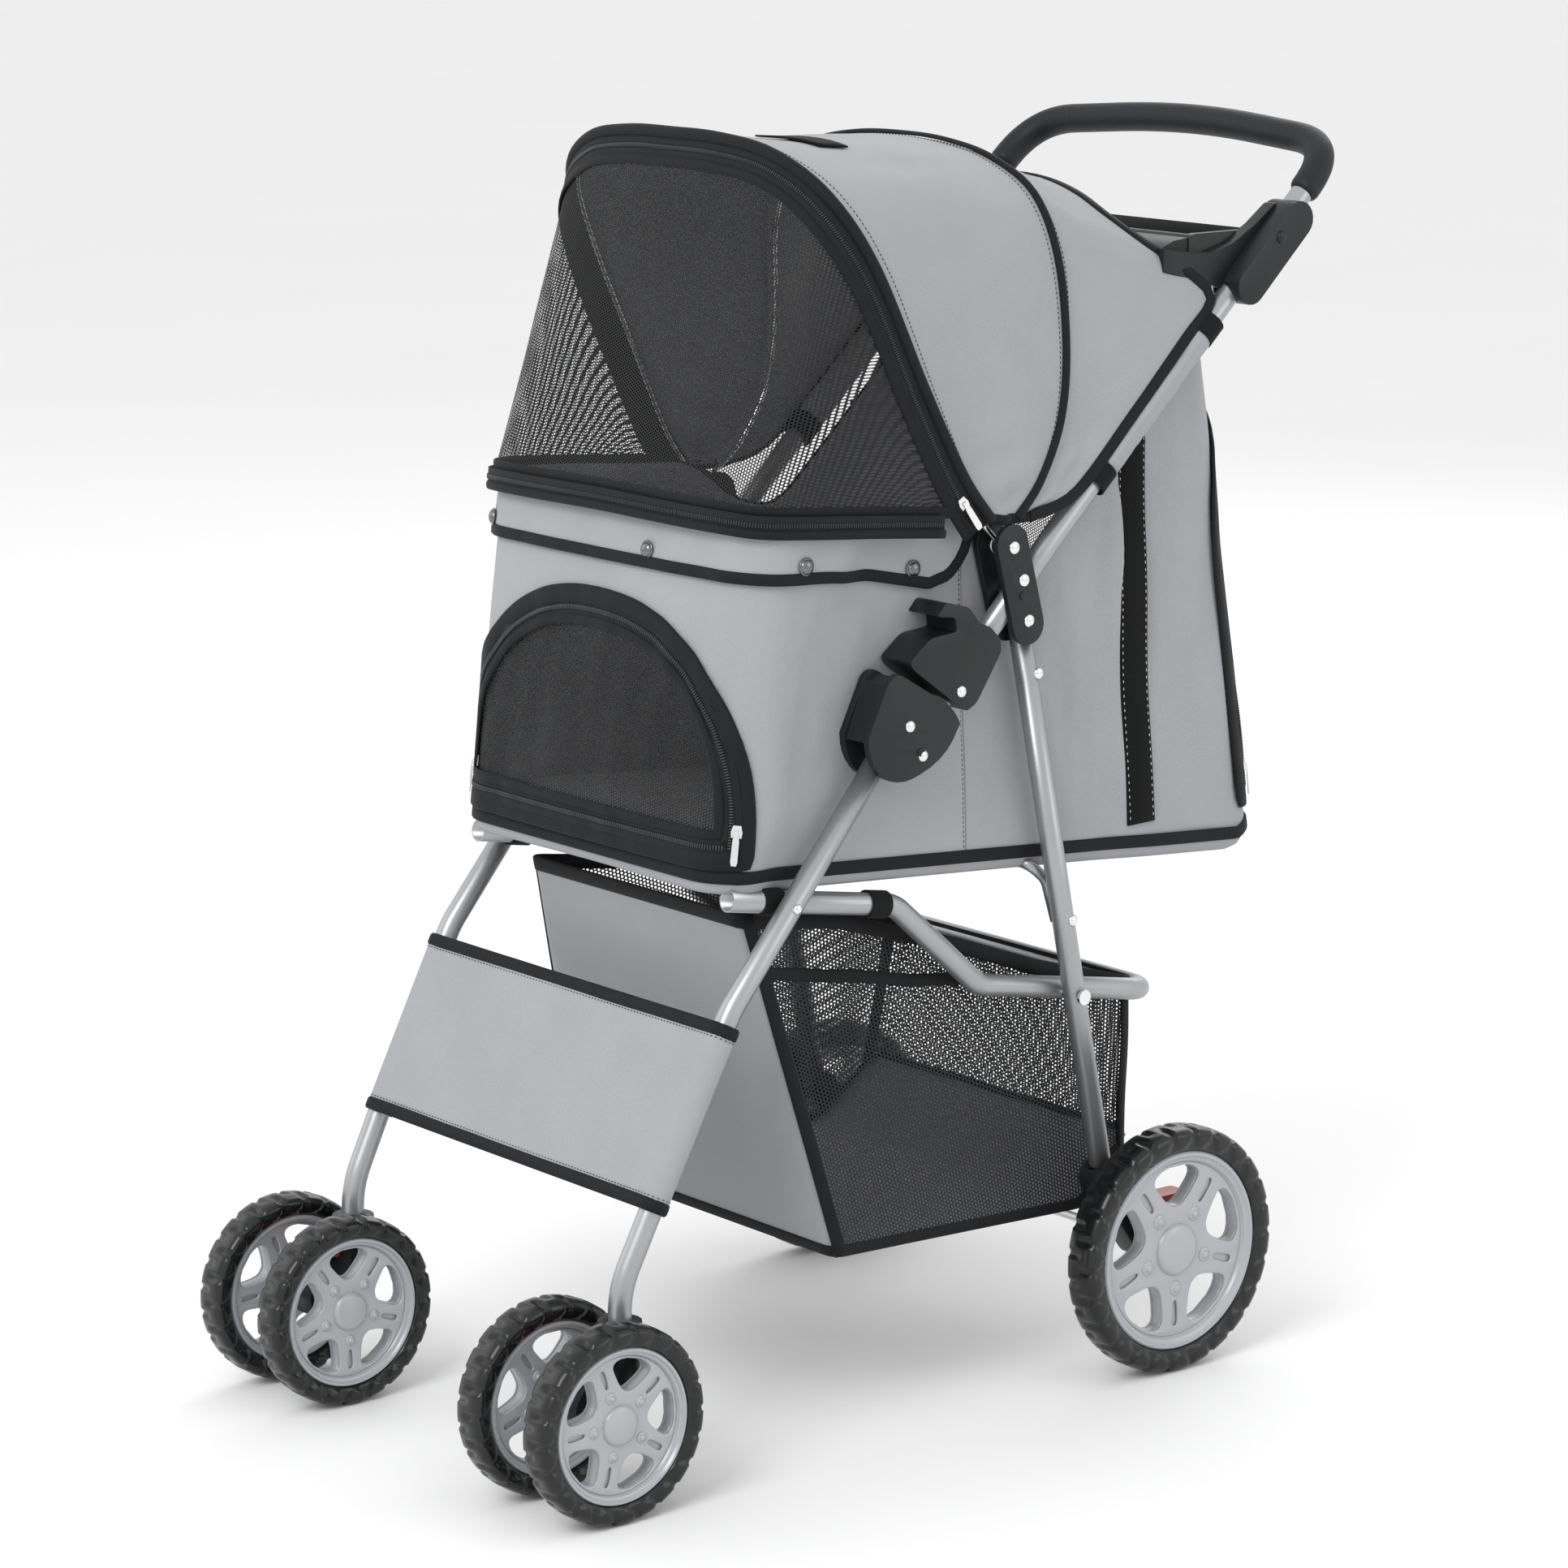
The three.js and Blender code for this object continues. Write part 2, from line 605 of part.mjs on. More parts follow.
// slabs on the rear panel face into the cabin, so a small positive offset sits just inside it
const REAR_UP = [REAR_TOP[0] - REAR_SILL[0], REAR_TOP[1] - REAR_SILL[1]];

function cabinShell() {
  const width = CABIN_HALF_WIDTH;
  const openTop = [[REAR_TOP[0] - CABIN_WALL, 940], [FRONT_TOP[0] + CABIN_WALL, 940]];
  const outer = sideSlab(cabinProfile(0, [REAR_TOP, ...CABIN_RIM]), -width, width);
  const hollow = cabinProfile(CABIN_WALL, openTop);
  const inner = sideSlab(hollow, -width + CABIN_WALL, width - CABIN_WALL);
  const frontDoorway = leaningSlab(doorShape(FRONT_DOOR), FLOOR_FRONT, FRONT_UP, 30, -15);
  const rearDoorway = leaningSlab(doorShape(REAR_DOOR), REAR_SILL, REAR_UP, 30, -15);
  return cut(outer, inner, frontDoorway, rearDoorway);
}

function smaller({ halfWidth, foot, height }) {
  return { halfWidth: halfWidth - 1.5, foot: foot + 1, height: height - 2.5 };
}

function frontDoor() {
  return leaningSlab(doorShape(smaller(FRONT_DOOR)), FLOOR_FRONT, FRONT_UP, 1.8, -2.2);
}

function rearDoor() {
  return leaningSlab(doorShape(smaller(REAR_DOOR)), REAR_SILL, REAR_UP, 1.8, 0.4);
}

// A board or pad lying on the cabin floor between two heights above it.
function floorSlab(halfWidth, low, high, inset) {
  const level = ([y, z], shift, lift) => [y + shift, z + lift];
  const profile = outline([
    level(FLOOR_FRONT, inset, low), level(FLOOR_REAR, -inset, low),
    level(FLOOR_REAR, -inset, high), level(FLOOR_FRONT, inset, high),
  ]);
  return sideSlab(profile, -halfWidth, halfWidth);
}

function frontFlap() {
  return sideSlab(outline([[-155, 604], [-150, 640], [-152, 640], [-157, 604]]), -138, 138);
}

// A convex tub whose sides lean in with height; inset and rise make the hollow from the same rule.
function basketHull(inset, rise) {
  const profile = [
    [-104 + inset, 122 + inset], [140 - inset, BASKET.floorZ + inset], [192 - inset, 165],
    [200 - inset, 252 + rise], [-136 + inset, 345 + rise],
  ];
  const halfWidth = (z) => BASKET.floorHalfWidth - inset - (z - BASKET.floorZ) * BASKET.taper;
  const positions = [-1, 1].flatMap((side) => profile.flatMap(([y, z]) => [side * halfWidth(z), y, z]));
  const count = profile.length;
  const faces = [];
  for (let i = 1; i < count - 1; i += 1) {
    faces.push(0, i + 1, i);
    faces.push(count, count + i, count + i + 1);
  }
  for (let i = 0; i < count; i += 1) {
    const next = (i + 1) % count;
    faces.push(i, next, count + next, i, count + next, count + i);
  }
  const geometry = new THREE.BufferGeometry();
  geometry.setAttribute('position', new THREE.Float32BufferAttribute(positions, 3));
  geometry.setIndex(faces);
  return geometry;
}

function basket() {
  return cut(basketHull(0, 0), basketHull(BASKET.wall, 20));
}

function basketLiner() {
  return sideSlab(outline([[-92, 125.5], [134, 120], [134, 122.5], [-92, 128]]), -136, 136);
}

// ---- canopy ----
function archCurve(half) {
  const points = mirrored(half).map((point) => new THREE.Vector3(...point));
  return new THREE.CatmullRomCurve3(points, false, 'centripetal');
}

// A sheet lofted between two arches, standing proud by bulge in the middle.
function canopySheet(fromArch, toArch, bulge) {
  const columns = 24;
  const rows = 3;
  const gap = 0.02;
  const from = archCurve(fromArch).getSpacedPoints(columns);
  const to = archCurve(toArch).getSpacedPoints(columns);
  const centre = new THREE.Vector3(0, HOOP_PIVOT[0], HOOP_PIVOT[1]);
  const grid = from.map((start, i) => {
    const line = [];
    for (let k = 0; k <= rows; k += 1) {
      const t = gap + (k / rows) * (1 - 2 * gap);
      const point = start.clone().lerp(to[i], t);
      const outward = point.clone().sub(centre).normalize();
      line.push(point.addScaledVector(outward, bulge * Math.sin(Math.PI * t)));
    }
    return line;
  });
  return thickSheet(grid, 2);
}

// A bent wire from the pivots up through an arch, kept inside the cloth.
function hoopWire(arch, pivotX) {
  const [pivotY, pivotZ] = HOOP_PIVOT;
  const shrink = 1 - HOOP_INSET / RAIL_X;
  const [kneeX, ...knee] = arch[1];
  const rest = arch.slice(2).map(([x, y, z]) => (
    [x * shrink, pivotY + (y - pivotY) * shrink, pivotZ + (z - pivotZ) * shrink]
  ));
  const path = bentPath(mirrored([[pivotX, ...HOOP_PIVOT], [kneeX - HOOP_INSET, ...knee], ...rest]), 40, 1);
  let wire = tube(path, HOOP_WIRE_RADIUS, { sides: 6 });
  for (const side of Object.values(SIDES)) {
    const x = side * pivotX;
    const ring = pin(HOOP_PIVOT, 6.5, x - 1.8, x + 1.8, 10);
    wire = cut(join(wire, ring), crossHole(HOOP_PIVOT, x));
  }
  return wire;
}

// ---- assembly ----
for (const [sideName, side] of Object.entries(SIDES)) {
  add(`front_leg_${sideName}`, 'silver', frontLeg(side));
  add(`lock_base_${sideName}`, 'plastic', lockBase(side));
  addCaster(sideName, side);
  add(`rear_leg_${sideName}`, 'silver', rearLeg(side));
  add(`axle_bracket_${sideName}`, 'plastic', axleBracket(side));
  add(`brake_pedal_${sideName}`, 'red', brakePedal(side));
  add(`seat_pivot_pin_${sideName}`, 'silver', seatPivotPin(side));
  addWheel(`rear_${sideName}`, REAR_WHEEL, [side * REAR_WHEEL.x, REAR_WHEEL.y, REAR_WHEEL.z], side, 28);
  add(`joint_bracket_${sideName}`, 'plastic', jointBracket(side));
  add(`lock_collar_${sideName}`, 'plastic', lockCollar(side));
}
const rearAxleReach = REAR_WHEEL.x + REAR_WHEEL.width / 2 - 4.6;
add('rear_axle', 'silver', pin([REAR_WHEEL.y, REAR_WHEEL.z], REAR_WHEEL.axle, -rearAxleReach, rearAxleReach));
add('floor_hoop', 'silver', floorHoop());
add('footrest_band', 'fabric', footrest());
add('handle_tube', 'silver', handleTube());
add('foam_grip', 'foam', foamGrip());
add('tray', 'plastic', tray());
add('seat_tube', 'silver', seatTube());
add('cabin_shell', 'fabric', cabinShell());
add('floor_board', 'binding', floorSlab(138, 3.2, 6.2, 6));
add('cushion', 'fabric', floorSlab(134, 6.8, 26, 12));
add('front_flap', 'fabric', frontFlap());
add('front_door', 'mesh', frontDoor());
add('rear_door', 'mesh', rearDoor());
add('basket', 'mesh', basket());
add('basket_liner', 'fabric', basketLiner());
add('canopy_front_panel', 'fabric', canopySheet(FRONT_ARCH, MIDDLE_ARCH, 4));
add('canopy_rear_panel', 'fabric', canopySheet(MIDDLE_ARCH, REAR_ARCH, 2));
add('window_mesh', 'mesh', canopySheet(WINDOW_SILL, FRONT_ARCH, 4));
add('hoop_front', 'silver', hoopWire(FRONT_ARCH, FRONT_HOOP_X));
add('hoop_middle', 'silver', hoopWire(MIDDLE_ARCH, MIDDLE_HOOP_X));

export default stroller;
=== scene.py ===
"""Looks for a folding pet stroller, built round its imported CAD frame. Metres, +Z up, front towards -Y."""
import json
import math

import bmesh
import bpy
from mathutils import Matrix, Vector, noise

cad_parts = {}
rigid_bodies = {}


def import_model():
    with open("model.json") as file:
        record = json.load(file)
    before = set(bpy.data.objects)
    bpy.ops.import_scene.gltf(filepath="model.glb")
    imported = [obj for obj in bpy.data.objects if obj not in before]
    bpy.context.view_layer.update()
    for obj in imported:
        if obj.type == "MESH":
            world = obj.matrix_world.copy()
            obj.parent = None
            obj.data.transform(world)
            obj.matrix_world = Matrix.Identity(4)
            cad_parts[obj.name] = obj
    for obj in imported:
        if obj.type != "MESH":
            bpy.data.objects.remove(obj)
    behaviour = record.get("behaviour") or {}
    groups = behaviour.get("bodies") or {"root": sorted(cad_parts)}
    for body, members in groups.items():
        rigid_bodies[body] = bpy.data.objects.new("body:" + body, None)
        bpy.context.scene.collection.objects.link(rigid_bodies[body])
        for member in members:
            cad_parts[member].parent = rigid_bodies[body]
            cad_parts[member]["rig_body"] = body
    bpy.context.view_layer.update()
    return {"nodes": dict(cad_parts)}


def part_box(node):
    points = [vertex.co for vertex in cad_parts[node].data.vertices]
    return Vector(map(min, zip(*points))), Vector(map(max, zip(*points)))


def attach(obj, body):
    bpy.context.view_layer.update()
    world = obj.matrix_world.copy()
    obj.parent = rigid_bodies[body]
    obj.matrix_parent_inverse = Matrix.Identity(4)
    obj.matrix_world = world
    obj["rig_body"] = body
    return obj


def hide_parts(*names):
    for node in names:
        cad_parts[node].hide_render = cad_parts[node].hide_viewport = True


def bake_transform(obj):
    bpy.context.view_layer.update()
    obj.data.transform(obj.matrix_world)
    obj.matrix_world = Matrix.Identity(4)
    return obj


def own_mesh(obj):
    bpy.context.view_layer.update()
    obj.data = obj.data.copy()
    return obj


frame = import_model()

MM = 0.001
SIDES = {"left": -1, "right": 1}

# ---- frame places, in millimetres, as [y, z] in the side view ----
RAIL_X = 160
STEM_X = 156
SEAT_RAIL_X = 141.5
TUBE_RADIUS = 8
LOCK_PIVOT = (-38, 477.1)
LOCK_RIVET = (-47.5, 496)
LEG_PIVOT = (62.5, 554.5)
HOOP_PIVOT = (47, 607.8)
REAR_LEG_FOOT = (150, 135)
HANDLE_BEND = (95, 611)
HANDLE_CORNER = (362, 864)
HANDLE_BOW = (370.7, 876)
FRONT_AXLE = (-314, 67.5)
REAR_AXLE = (186, 90)


# ---- small geometry helpers ----
def place(x, y, z):
    return Vector((x, y, z)) * MM


def mix(a, b, t):
    return a + (b - a) * t


def ease(low, high, value):
    t = min(max((value - low) / (high - low), 0.0), 1.0)
    return t * t * (3 - 2 * t)


def through(stops, value):
    """Reads a value off a list of (key, result) stops, straight between them."""
    for (k0, r0), (k1, r1) in zip(stops, stops[1:]):
        if value <= k1:
            return mix(r0, r1, min(max((value - k0) / (k1 - k0), 0.0), 1.0))
    return stops[-1][1]


def bent_path(corners, radius, steps=8):
    """Rounds the corners of a polyline; radius is one number or one for each corner."""
    points = [corners[0]]
    for k, (before, corner, after) in enumerate(zip(corners, corners[1:], corners[2:])):
        back, ahead = before - corner, after - corner
        turn = math.pi - back.angle(ahead)
        bend = radius[k] if isinstance(radius, list) else radius
        reach = min(bend * math.tan(turn / 2), back.length * 0.45, ahead.length * 0.45)
        start, end = corner + back.normalized() * reach, corner + ahead.normalized() * reach
        for i in range(steps + 1):
            t = i / steps
            points.append(start * (1 - t) ** 2 + corner * 2 * t * (1 - t) + end * t * t)
    return points + [corners[-1]]


def smooth_curve(points, count, closed=False):
    """A Catmull-Rom curve through the points, resampled to evenly spaced ones."""
    n = len(points)
    spans = n if closed else n - 1
    dense = []
    for i in range(spans):
        if closed:
            p0, p1, p2, p3 = (points[(i + k) % n] for k in (-1, 0, 1, 2))
        else:
            p0, p1, p2, p3 = (points[min(max(i + k, 0), n - 1)] for k in (-1, 0, 1, 2))
        for k in range(16):
            t = k / 16
            dense.append(0.5 * (2 * p1 + (p2 - p0) * t + (2 * p0 - 5 * p1 + 4 * p2 - p3) * t * t
                                + (3 * p1 - p0 - 3 * p2 + p3) * t ** 3))
    dense.append(points[0] if closed else points[-1])
    return resample(dense, count)


def resample(points, count):
    lengths = [0.0]
    for a, b in zip(points, points[1:]):
        lengths.append(lengths[-1] + (b - a).length)
    result, at = [], 0
    for i in range(count):
        target = lengths[-1] * i / (count - 1)
        while at < len(points) - 2 and lengths[at + 1] < target:
            at += 1
        span = max(lengths[at + 1] - lengths[at], 1e-9)
        result.append(points[at].lerp(points[at + 1], min((target - lengths[at]) / span, 1.0)))
    return result


def tangents(points, closed=False):
    n = len(points)
    result = []
    for i in range(n):
        if closed:
            a, b = points[i - 1], points[(i + 1) % n]
        else:
            a, b = points[max(i - 1, 0)], points[min(i + 1, n - 1)]
        result.append((b - a).normalized())
    return result


def carried_normals(points, closed=False):
    """A normal at each point, carried along the path without twist."""
    along = tangents(points, closed)
    first = Vector((1, 0, 0)) if abs(along[0].x) < 0.8 else Vector((0, 0, 1))
    normal = (first - along[0] * first.dot(along[0])).normalized()
    result = []
    for t in along:
        normal = (normal - t * normal.dot(t)).normalized()
        result.append(normal.copy())
    return result


# ---- pieces ----
def new_piece(name, verts, faces, material, uvs=None):
    mesh = bpy.data.meshes.new(name)
    mesh.from_pydata([tuple(v) for v in verts], [], faces)
    mesh.materials.append(material)
    if uvs:
        layer = mesh.uv_layers.new(name="cloth")
        for loop in mesh.loops:
            layer.data[loop.index].uv = uvs[loop.vertex_index]
    mesh.shade_smooth()
    piece = bpy.data.objects.new(name, mesh)
    bpy.context.scene.collection.objects.link(piece)
    return piece


def lattice(name, rows, material, wrap_rows=False, wrap_columns=False, keep=None, flat=None):
    """A grid of points as one smooth surface, with a UV map in metres; flat gives each point's place on
    the cloth."""
    columns = len(rows[0])
    middle_row, middle_column = rows[len(rows) // 2], [row[columns // 2] for row in rows]
    across, along = [0.0], [0.0]
    for a, b in zip(middle_row, middle_row[1:]):
        across.append(across[-1] + (b - a).length)
    for a, b in zip(middle_column, middle_column[1:]):
        along.append(along[-1] + (b - a).length)
    verts = [p for row in rows for p in row]
    if flat:
        uvs = [uv for row in flat for uv in row]
    else:
        uvs = [(across[j], along[i]) for i in range(len(rows)) for j in range(columns)]
    faces = []
    for i in range(len(rows) if wrap_rows else len(rows) - 1):
        for j in range(columns if wrap_columns else columns - 1):
            k, m = (i + 1) % len(rows), (j + 1) % columns
            if keep is None or keep(i, j):
                faces.append((i * columns + j, i * columns + m, k * columns + m, k * columns + j))
    return new_piece(name, verts, faces, material, uvs)


def settle(piece):
    """Applies the piece's modifiers to its mesh."""
    bpy.context.view_layer.update()
    evaluated = piece.evaluated_get(bpy.context.evaluated_depsgraph_get())
    mesh = bpy.data.meshes.new_from_object(evaluated)
    piece.modifiers.clear()
    piece.data = mesh
    return piece


def thicken(piece, thickness, offset=0.0, rounds=0):
    solid = piece.modifiers.new("wall", "SOLIDIFY")
    solid.thickness = thickness * MM
    solid.offset = offset
    if rounds:
        soft = piece.modifiers.new("soft", "SUBSURF")
        soft.levels = soft.render_levels = rounds
    return settle(piece)


def outward(piece):
    """Turns every face of a closed piece outwards."""
    work = bmesh.new()
    work.from_mesh(piece.data)
    bmesh.ops.remove_doubles(work, verts=work.verts, dist=1e-6)
    bmesh.ops.recalc_face_normals(work, faces=work.faces)
    work.to_mesh(piece.data)
    work.free()
    return piece


def joined(name, pieces):
    """Joins meshes into one piece and keeps their materials."""
    work = bmesh.new()
    materials = []
    for piece in pieces:
        first = len(work.faces)
        work.from_mesh(piece.data)
        work.faces.ensure_lookup_table()
        for face in work.faces[first:]:
            material = piece.data.materials[face.material_index]
            if material not in materials:
                materials.append(material)
            face.material_index = materials.index(material)
    mesh = bpy.data.meshes.new(name)
    work.to_mesh(mesh)
    work.free()
    for material in materials:
        mesh.materials.append(material)
    for piece in pieces:
        bpy.data.objects.remove(piece)
    whole = bpy.data.objects.new(name, mesh)
    bpy.context.scene.collection.objects.link(whole)
    return whole


def sweep(name, path, section, material, normals=None, closed=False):
    """Carries a closed section, given as (across, out) in millimetres, along a path."""
    normals = normals or carried_normals(path, closed)
    rows = []
    for point, along, normal in zip(path, tangents(path, closed), normals):
        side = along.cross(normal).normalized()
        out = side.cross(along).normalized()
        rows.append([point + (side * a + out * b) * MM for a, b in section])
    body = lattice(name, rows, material, wrap_rows=closed, wrap_columns=True)
    if not closed:
        work = bmesh.new()
        work.from_mesh(body.data)
        work.verts.ensure_lookup_table()
        n = len(section)
        for ring in (range(n), range(len(rows) * n - n, len(rows) * n)):
            work.faces.new([work.verts[i] for i in ring])
        bmesh.ops.recalc_face_normals(work, faces=work.faces)
        work.to_mesh(body.data)
        work.free()
    else:
        outward(body)
    return body


def circle(radius, sides=20):
    return [(radius * math.cos(2 * math.pi * i / sides), radius * math.sin(2 * math.pi * i / sides))
            for i in range(sides)]


def tape_section(width, thickness, lift=0.0):
    """A flat tape with soft edges."""
    half, top = width / 2, thickness
    edge = min(top, half) * 0.6
    return [(-half, lift), (-half, lift + top * 0.5), (-half + edge, lift + top), (0, lift + top * 1.06),
            (half - edge, lift + top), (half, lift + top * 0.5), (half, lift)]


def pipe(name, path, outer, inner, material, sides=24):
    """A hollow tube, open at both ends."""
    normals = carried_normals(path)
    rings = []
    for radius, order in ((outer, 1), (inner, -1)):
        stations = list(zip(path, tangents(path), normals))[::order]
        for point, along, normal in stations:
            side = along.cross(normal)
            rings.append([point + (side * a + normal * b) * MM for a, b in circle(radius, sides)])
    return outward(lattice(name, rings, material, wrap_rows=True, wrap_columns=True))


def lathe(name, profile, material, centre, steps=72, shift=None):
    """Turns a closed (radius, x) profile round the X axis; shift changes each point's radius and x."""
    rows = []
    for i in range(steps):
        turn = 2 * math.pi * i / steps
        row = []
        for radius, x in profile:
            dr, dx = shift(turn, radius, x) if shift else (0, 0)
            row.append(centre + place(x + dx, (radius + dr) * math.cos(turn), (radius + dr) * math.sin(turn)))
        rows.append(row)
    return outward(lattice(name, rows, material, wrap_rows=True, wrap_columns=True))


def plate(name, outlines, thickness, bevel, material, matrix, resolution=2):
    """A flat plate with holes, with rounded edges: outlines are closed loops of (a, b) in millimetres."""
    curve = bpy.data.curves.new(name, "CURVE")
    curve.dimensions = "2D"
    curve.fill_mode = "BOTH"
    curve.extrude = (thickness / 2 - bevel) * MM
    curve.bevel_depth = bevel * MM
    curve.bevel_resolution = resolution
    curve.offset = -bevel * MM
    for outline in outlines:
        spline = curve.splines.new("POLY")
        spline.points.add(len(outline) - 1)
        for point, (a, b) in zip(spline.points, outline):
            point.co = (a * MM, b * MM, 0, 1)
        spline.use_cyclic_u = True
    shape = bpy.data.objects.new(name, curve)
    bpy.context.scene.collection.objects.link(shape)
    bpy.context.view_layer.update()
    mesh = bpy.data.meshes.new_from_object(shape.evaluated_get(bpy.context.evaluated_depsgraph_get()))
    bpy.data.objects.remove(shape)
    mesh.transform(matrix)
    mesh.materials.clear()
    mesh.materials.append(material)
    piece = bpy.data.objects.new(name, mesh)
    bpy.context.scene.collection.objects.link(piece)
    outward(piece)
    mesh.shade_smooth()
    mesh.set_sharp_from_angle(angle=math.radians(38))
    return piece


def side_matrix(x, y, z):
    """Stands a flat shape up in the side view: a runs along Y, b along Z and thickness along X."""
    turn = Matrix(((0, 0, 1, x * MM), (1, 0, 0, y * MM), (0, 1, 0, z * MM), (0, 0, 0, 1)))
    return turn


def refined(node, material, bevel=0.8, angle=32):
    """A copy of a CAD node with merged faces and rounded edges, which stands for it."""
    source = frame["nodes"][node]
    mesh = source.data.copy()
    mesh.materials.clear()
    mesh.materials.append(material)
    piece = bpy.data.objects.new(node + "_finish", mesh)
    bpy.context.scene.collection.objects.link(piece)
    work = bmesh.new()
    work.from_mesh(mesh)
    bmesh.ops.remove_doubles(work, verts=work.verts, dist=2e-6)
    bmesh.ops.dissolve_limit(work, angle_limit=math.radians(3), verts=work.verts, edges=work.edges)
    work.to_mesh(mesh)
    work.free()
    if bevel:
        rounding = piece.modifiers.new("edges", "BEVEL")
        rounding.width = bevel * MM
        rounding.segments = 3
        rounding.limit_method = "ANGLE"
        rounding.angle_limit = math.radians(angle)
        settle(piece)
    piece.data.shade_smooth()
    piece.data.set_sharp_from_angle(angle=math.radians(40))
    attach(piece, source["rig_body"])
    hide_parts(node)
    return piece


def finish_on(piece, body, slot, *nodes):
    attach(piece, body)
    if nodes:
        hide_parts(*nodes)
    return piece


# ---- shader node groups ----
def put(tree, kind, inputs=None, **settings):
    """Adds a node, sets it up and links or sets its inputs."""
    made = tree.nodes.new(kind)
    for key, value in settings.items():
        setattr(made, key, value)
    for key, value in (inputs or {}).items():
        if isinstance(value, bpy.types.NodeSocket):
            tree.links.new(value, made.inputs[key])
        else:
            made.inputs[key].default_value = value
    return made


def maths(tree, operation, a, b=0.0, c=0.0):
    made = tree.nodes.new("ShaderNodeMath")
    made.operation = operation
    for k, value in enumerate((a, b, c)):
        if isinstance(value, bpy.types.NodeSocket):
            tree.links.new(value, made.inputs[k])
        else:
            made.inputs[k].default_value = value
    return made.outputs[0]


def shader_group(name, inputs, outputs, build):
    """A node group; inputs and outputs are {name: (type, default)} and {name: type}."""
    tree = bpy.data.node_groups.new(name, "ShaderNodeTree")
    for key, (kind, default) in inputs.items():
        socket = tree.interface.new_socket(key, in_out="INPUT", socket_type="NodeSocket" + kind)
        if default is not None:
            socket.default_value = default
    for key, kind in outputs.items():
        tree.interface.new_socket(key, in_out="OUTPUT", socket_type="NodeSocket" + kind)
    entry = tree.nodes.new("NodeGroupInput")
    leave = tree.nodes.new("NodeGroupOutput")
    results = build(tree, {key: entry.outputs[key] for key in inputs})
    for key, value in results.items():
        tree.links.new(value, leave.inputs[key])
    return tree


def build_weave(tree, given):
    """Threads over and under each other, with slubs, from coordinates in metres."""
    scaled = put(tree, "ShaderNodeVectorMath", {0: given["Vector"]}, operation="SCALE")
    tree.links.new(maths(tree, "DIVIDE", 1.0, given["Pitch"]), scaled.inputs["Scale"])
    split = put(tree, "ShaderNodeSeparateXYZ", {0: scaled.outputs[0]})
    u, v, w = split.outputs
    warp = maths(tree, "SINE", maths(tree, "MULTIPLY", maths(tree, "ADD", u, w), math.pi))
    weft = maths(tree, "SINE", maths(tree, "MULTIPLY", maths(tree, "SUBTRACT", v, w), math.pi))
    over = maths(tree, "MULTIPLY", warp, weft)
    height = maths(tree, "ADD", maths(tree, "ABSOLUTE", warp), maths(tree, "MULTIPLY", over, 0.6))
    slub = put(tree, "ShaderNodeTexNoise", {"Vector": given["Vector"], "Scale": 900.0, "Detail": 3.0})
    cloud = put(tree, "ShaderNodeTexNoise", {"Vector": given["Vector"], "Scale": 14.0, "Detail": 4.0})
    rough = maths(tree, "ADD", height, maths(tree, "MULTIPLY", slub.outputs["Fac"], given["Slub"]))
    shade = maths(tree, "ADD", maths(tree, "MULTIPLY", slub.outputs["Fac"], 0.5),
                  maths(tree, "MULTIPLY", cloud.outputs["Fac"], 0.5))
    return {"Height": rough, "Shade": shade}


def build_net(tree, given):
    """Knitted open net: a mask that is one on the threads and nought in the holes."""
    scaled = put(tree, "ShaderNodeVectorMath", {0: given["Vector"]}, operation="SCALE")
    tree.links.new(maths(tree, "DIVIDE", 1.0, given["Pitch"]), scaled.inputs["Scale"])
    split = put(tree, "ShaderNodeSeparateXYZ", {0: scaled.outputs[0]})
    column = maths(tree, "FLOOR", split.outputs[0])
    stagger = maths(tree, "MULTIPLY", maths(tree, "MODULO", column, 2.0), 0.5)
    a = maths(tree, "SUBTRACT", maths(tree, "FRACT", split.outputs[0]), 0.5)
    b = maths(tree, "SUBTRACT", maths(tree, "FRACT", maths(tree, "ADD", split.outputs[1], stagger)), 0.5)
    far = maths(tree, "ADD", maths(tree, "POWER", maths(tree, "ABSOLUTE", a), 2.6),
                maths(tree, "POWER", maths(tree, "ABSOLUTE", b), 2.6))
    limit = maths(tree, "POWER", given["Hole"], 2.6)
    thread = maths(tree, "GREATER_THAN", far, limit)
    return {"Thread": thread, "Height": far}


def build_wear(tree, given):
    """Soft blotches and fine scratches for rubbed surfaces."""
    blotch = put(tree, "ShaderNodeTexNoise",
                 {"Vector": given["Vector"], "Scale": given["Scale"], "Detail": 6.0})
    stretched = put(tree, "ShaderNodeMapping", {"Vector": given["Vector"], "Scale": (9.0, 1.0, 1.0)})
    scratch = put(tree, "ShaderNodeTexNoise", {"Vector": stretched.outputs[0], "Scale": 160.0, "Detail": 2.0})
    line = put(tree, "ShaderNodeMapRange",
               {"Value": scratch.outputs["Fac"], "From Min": 0.62, "From Max": 0.72})
    soft = put(tree, "ShaderNodeMapRange",
               {"Value": blotch.outputs["Fac"], "From Min": 0.35, "From Max": 0.75})
    mask = maths(tree, "ADD", maths(tree, "MULTIPLY", soft.outputs[0], 0.6),
                 maths(tree, "MULTIPLY", line.outputs[0], 0.4))
    return {"Mask": maths(tree, "MULTIPLY", mask, given["Amount"])}


def build_grain(tree, given):
    """Fine moulded grain."""
    cells = put(tree, "ShaderNodeTexVoronoi", {"Vector": given["Vector"], "Scale": given["Scale"]})
    fine = put(tree, "ShaderNodeTexNoise", {"Vector": given["Vector"], "Scale": 1800.0, "Detail": 2.0})
    height = maths(tree, "ADD", maths(tree, "MULTIPLY", cells.outputs["Distance"], 0.6),
                   maths(tree, "MULTIPLY", fine.outputs["Fac"], 0.4))
    return {"Height": height}


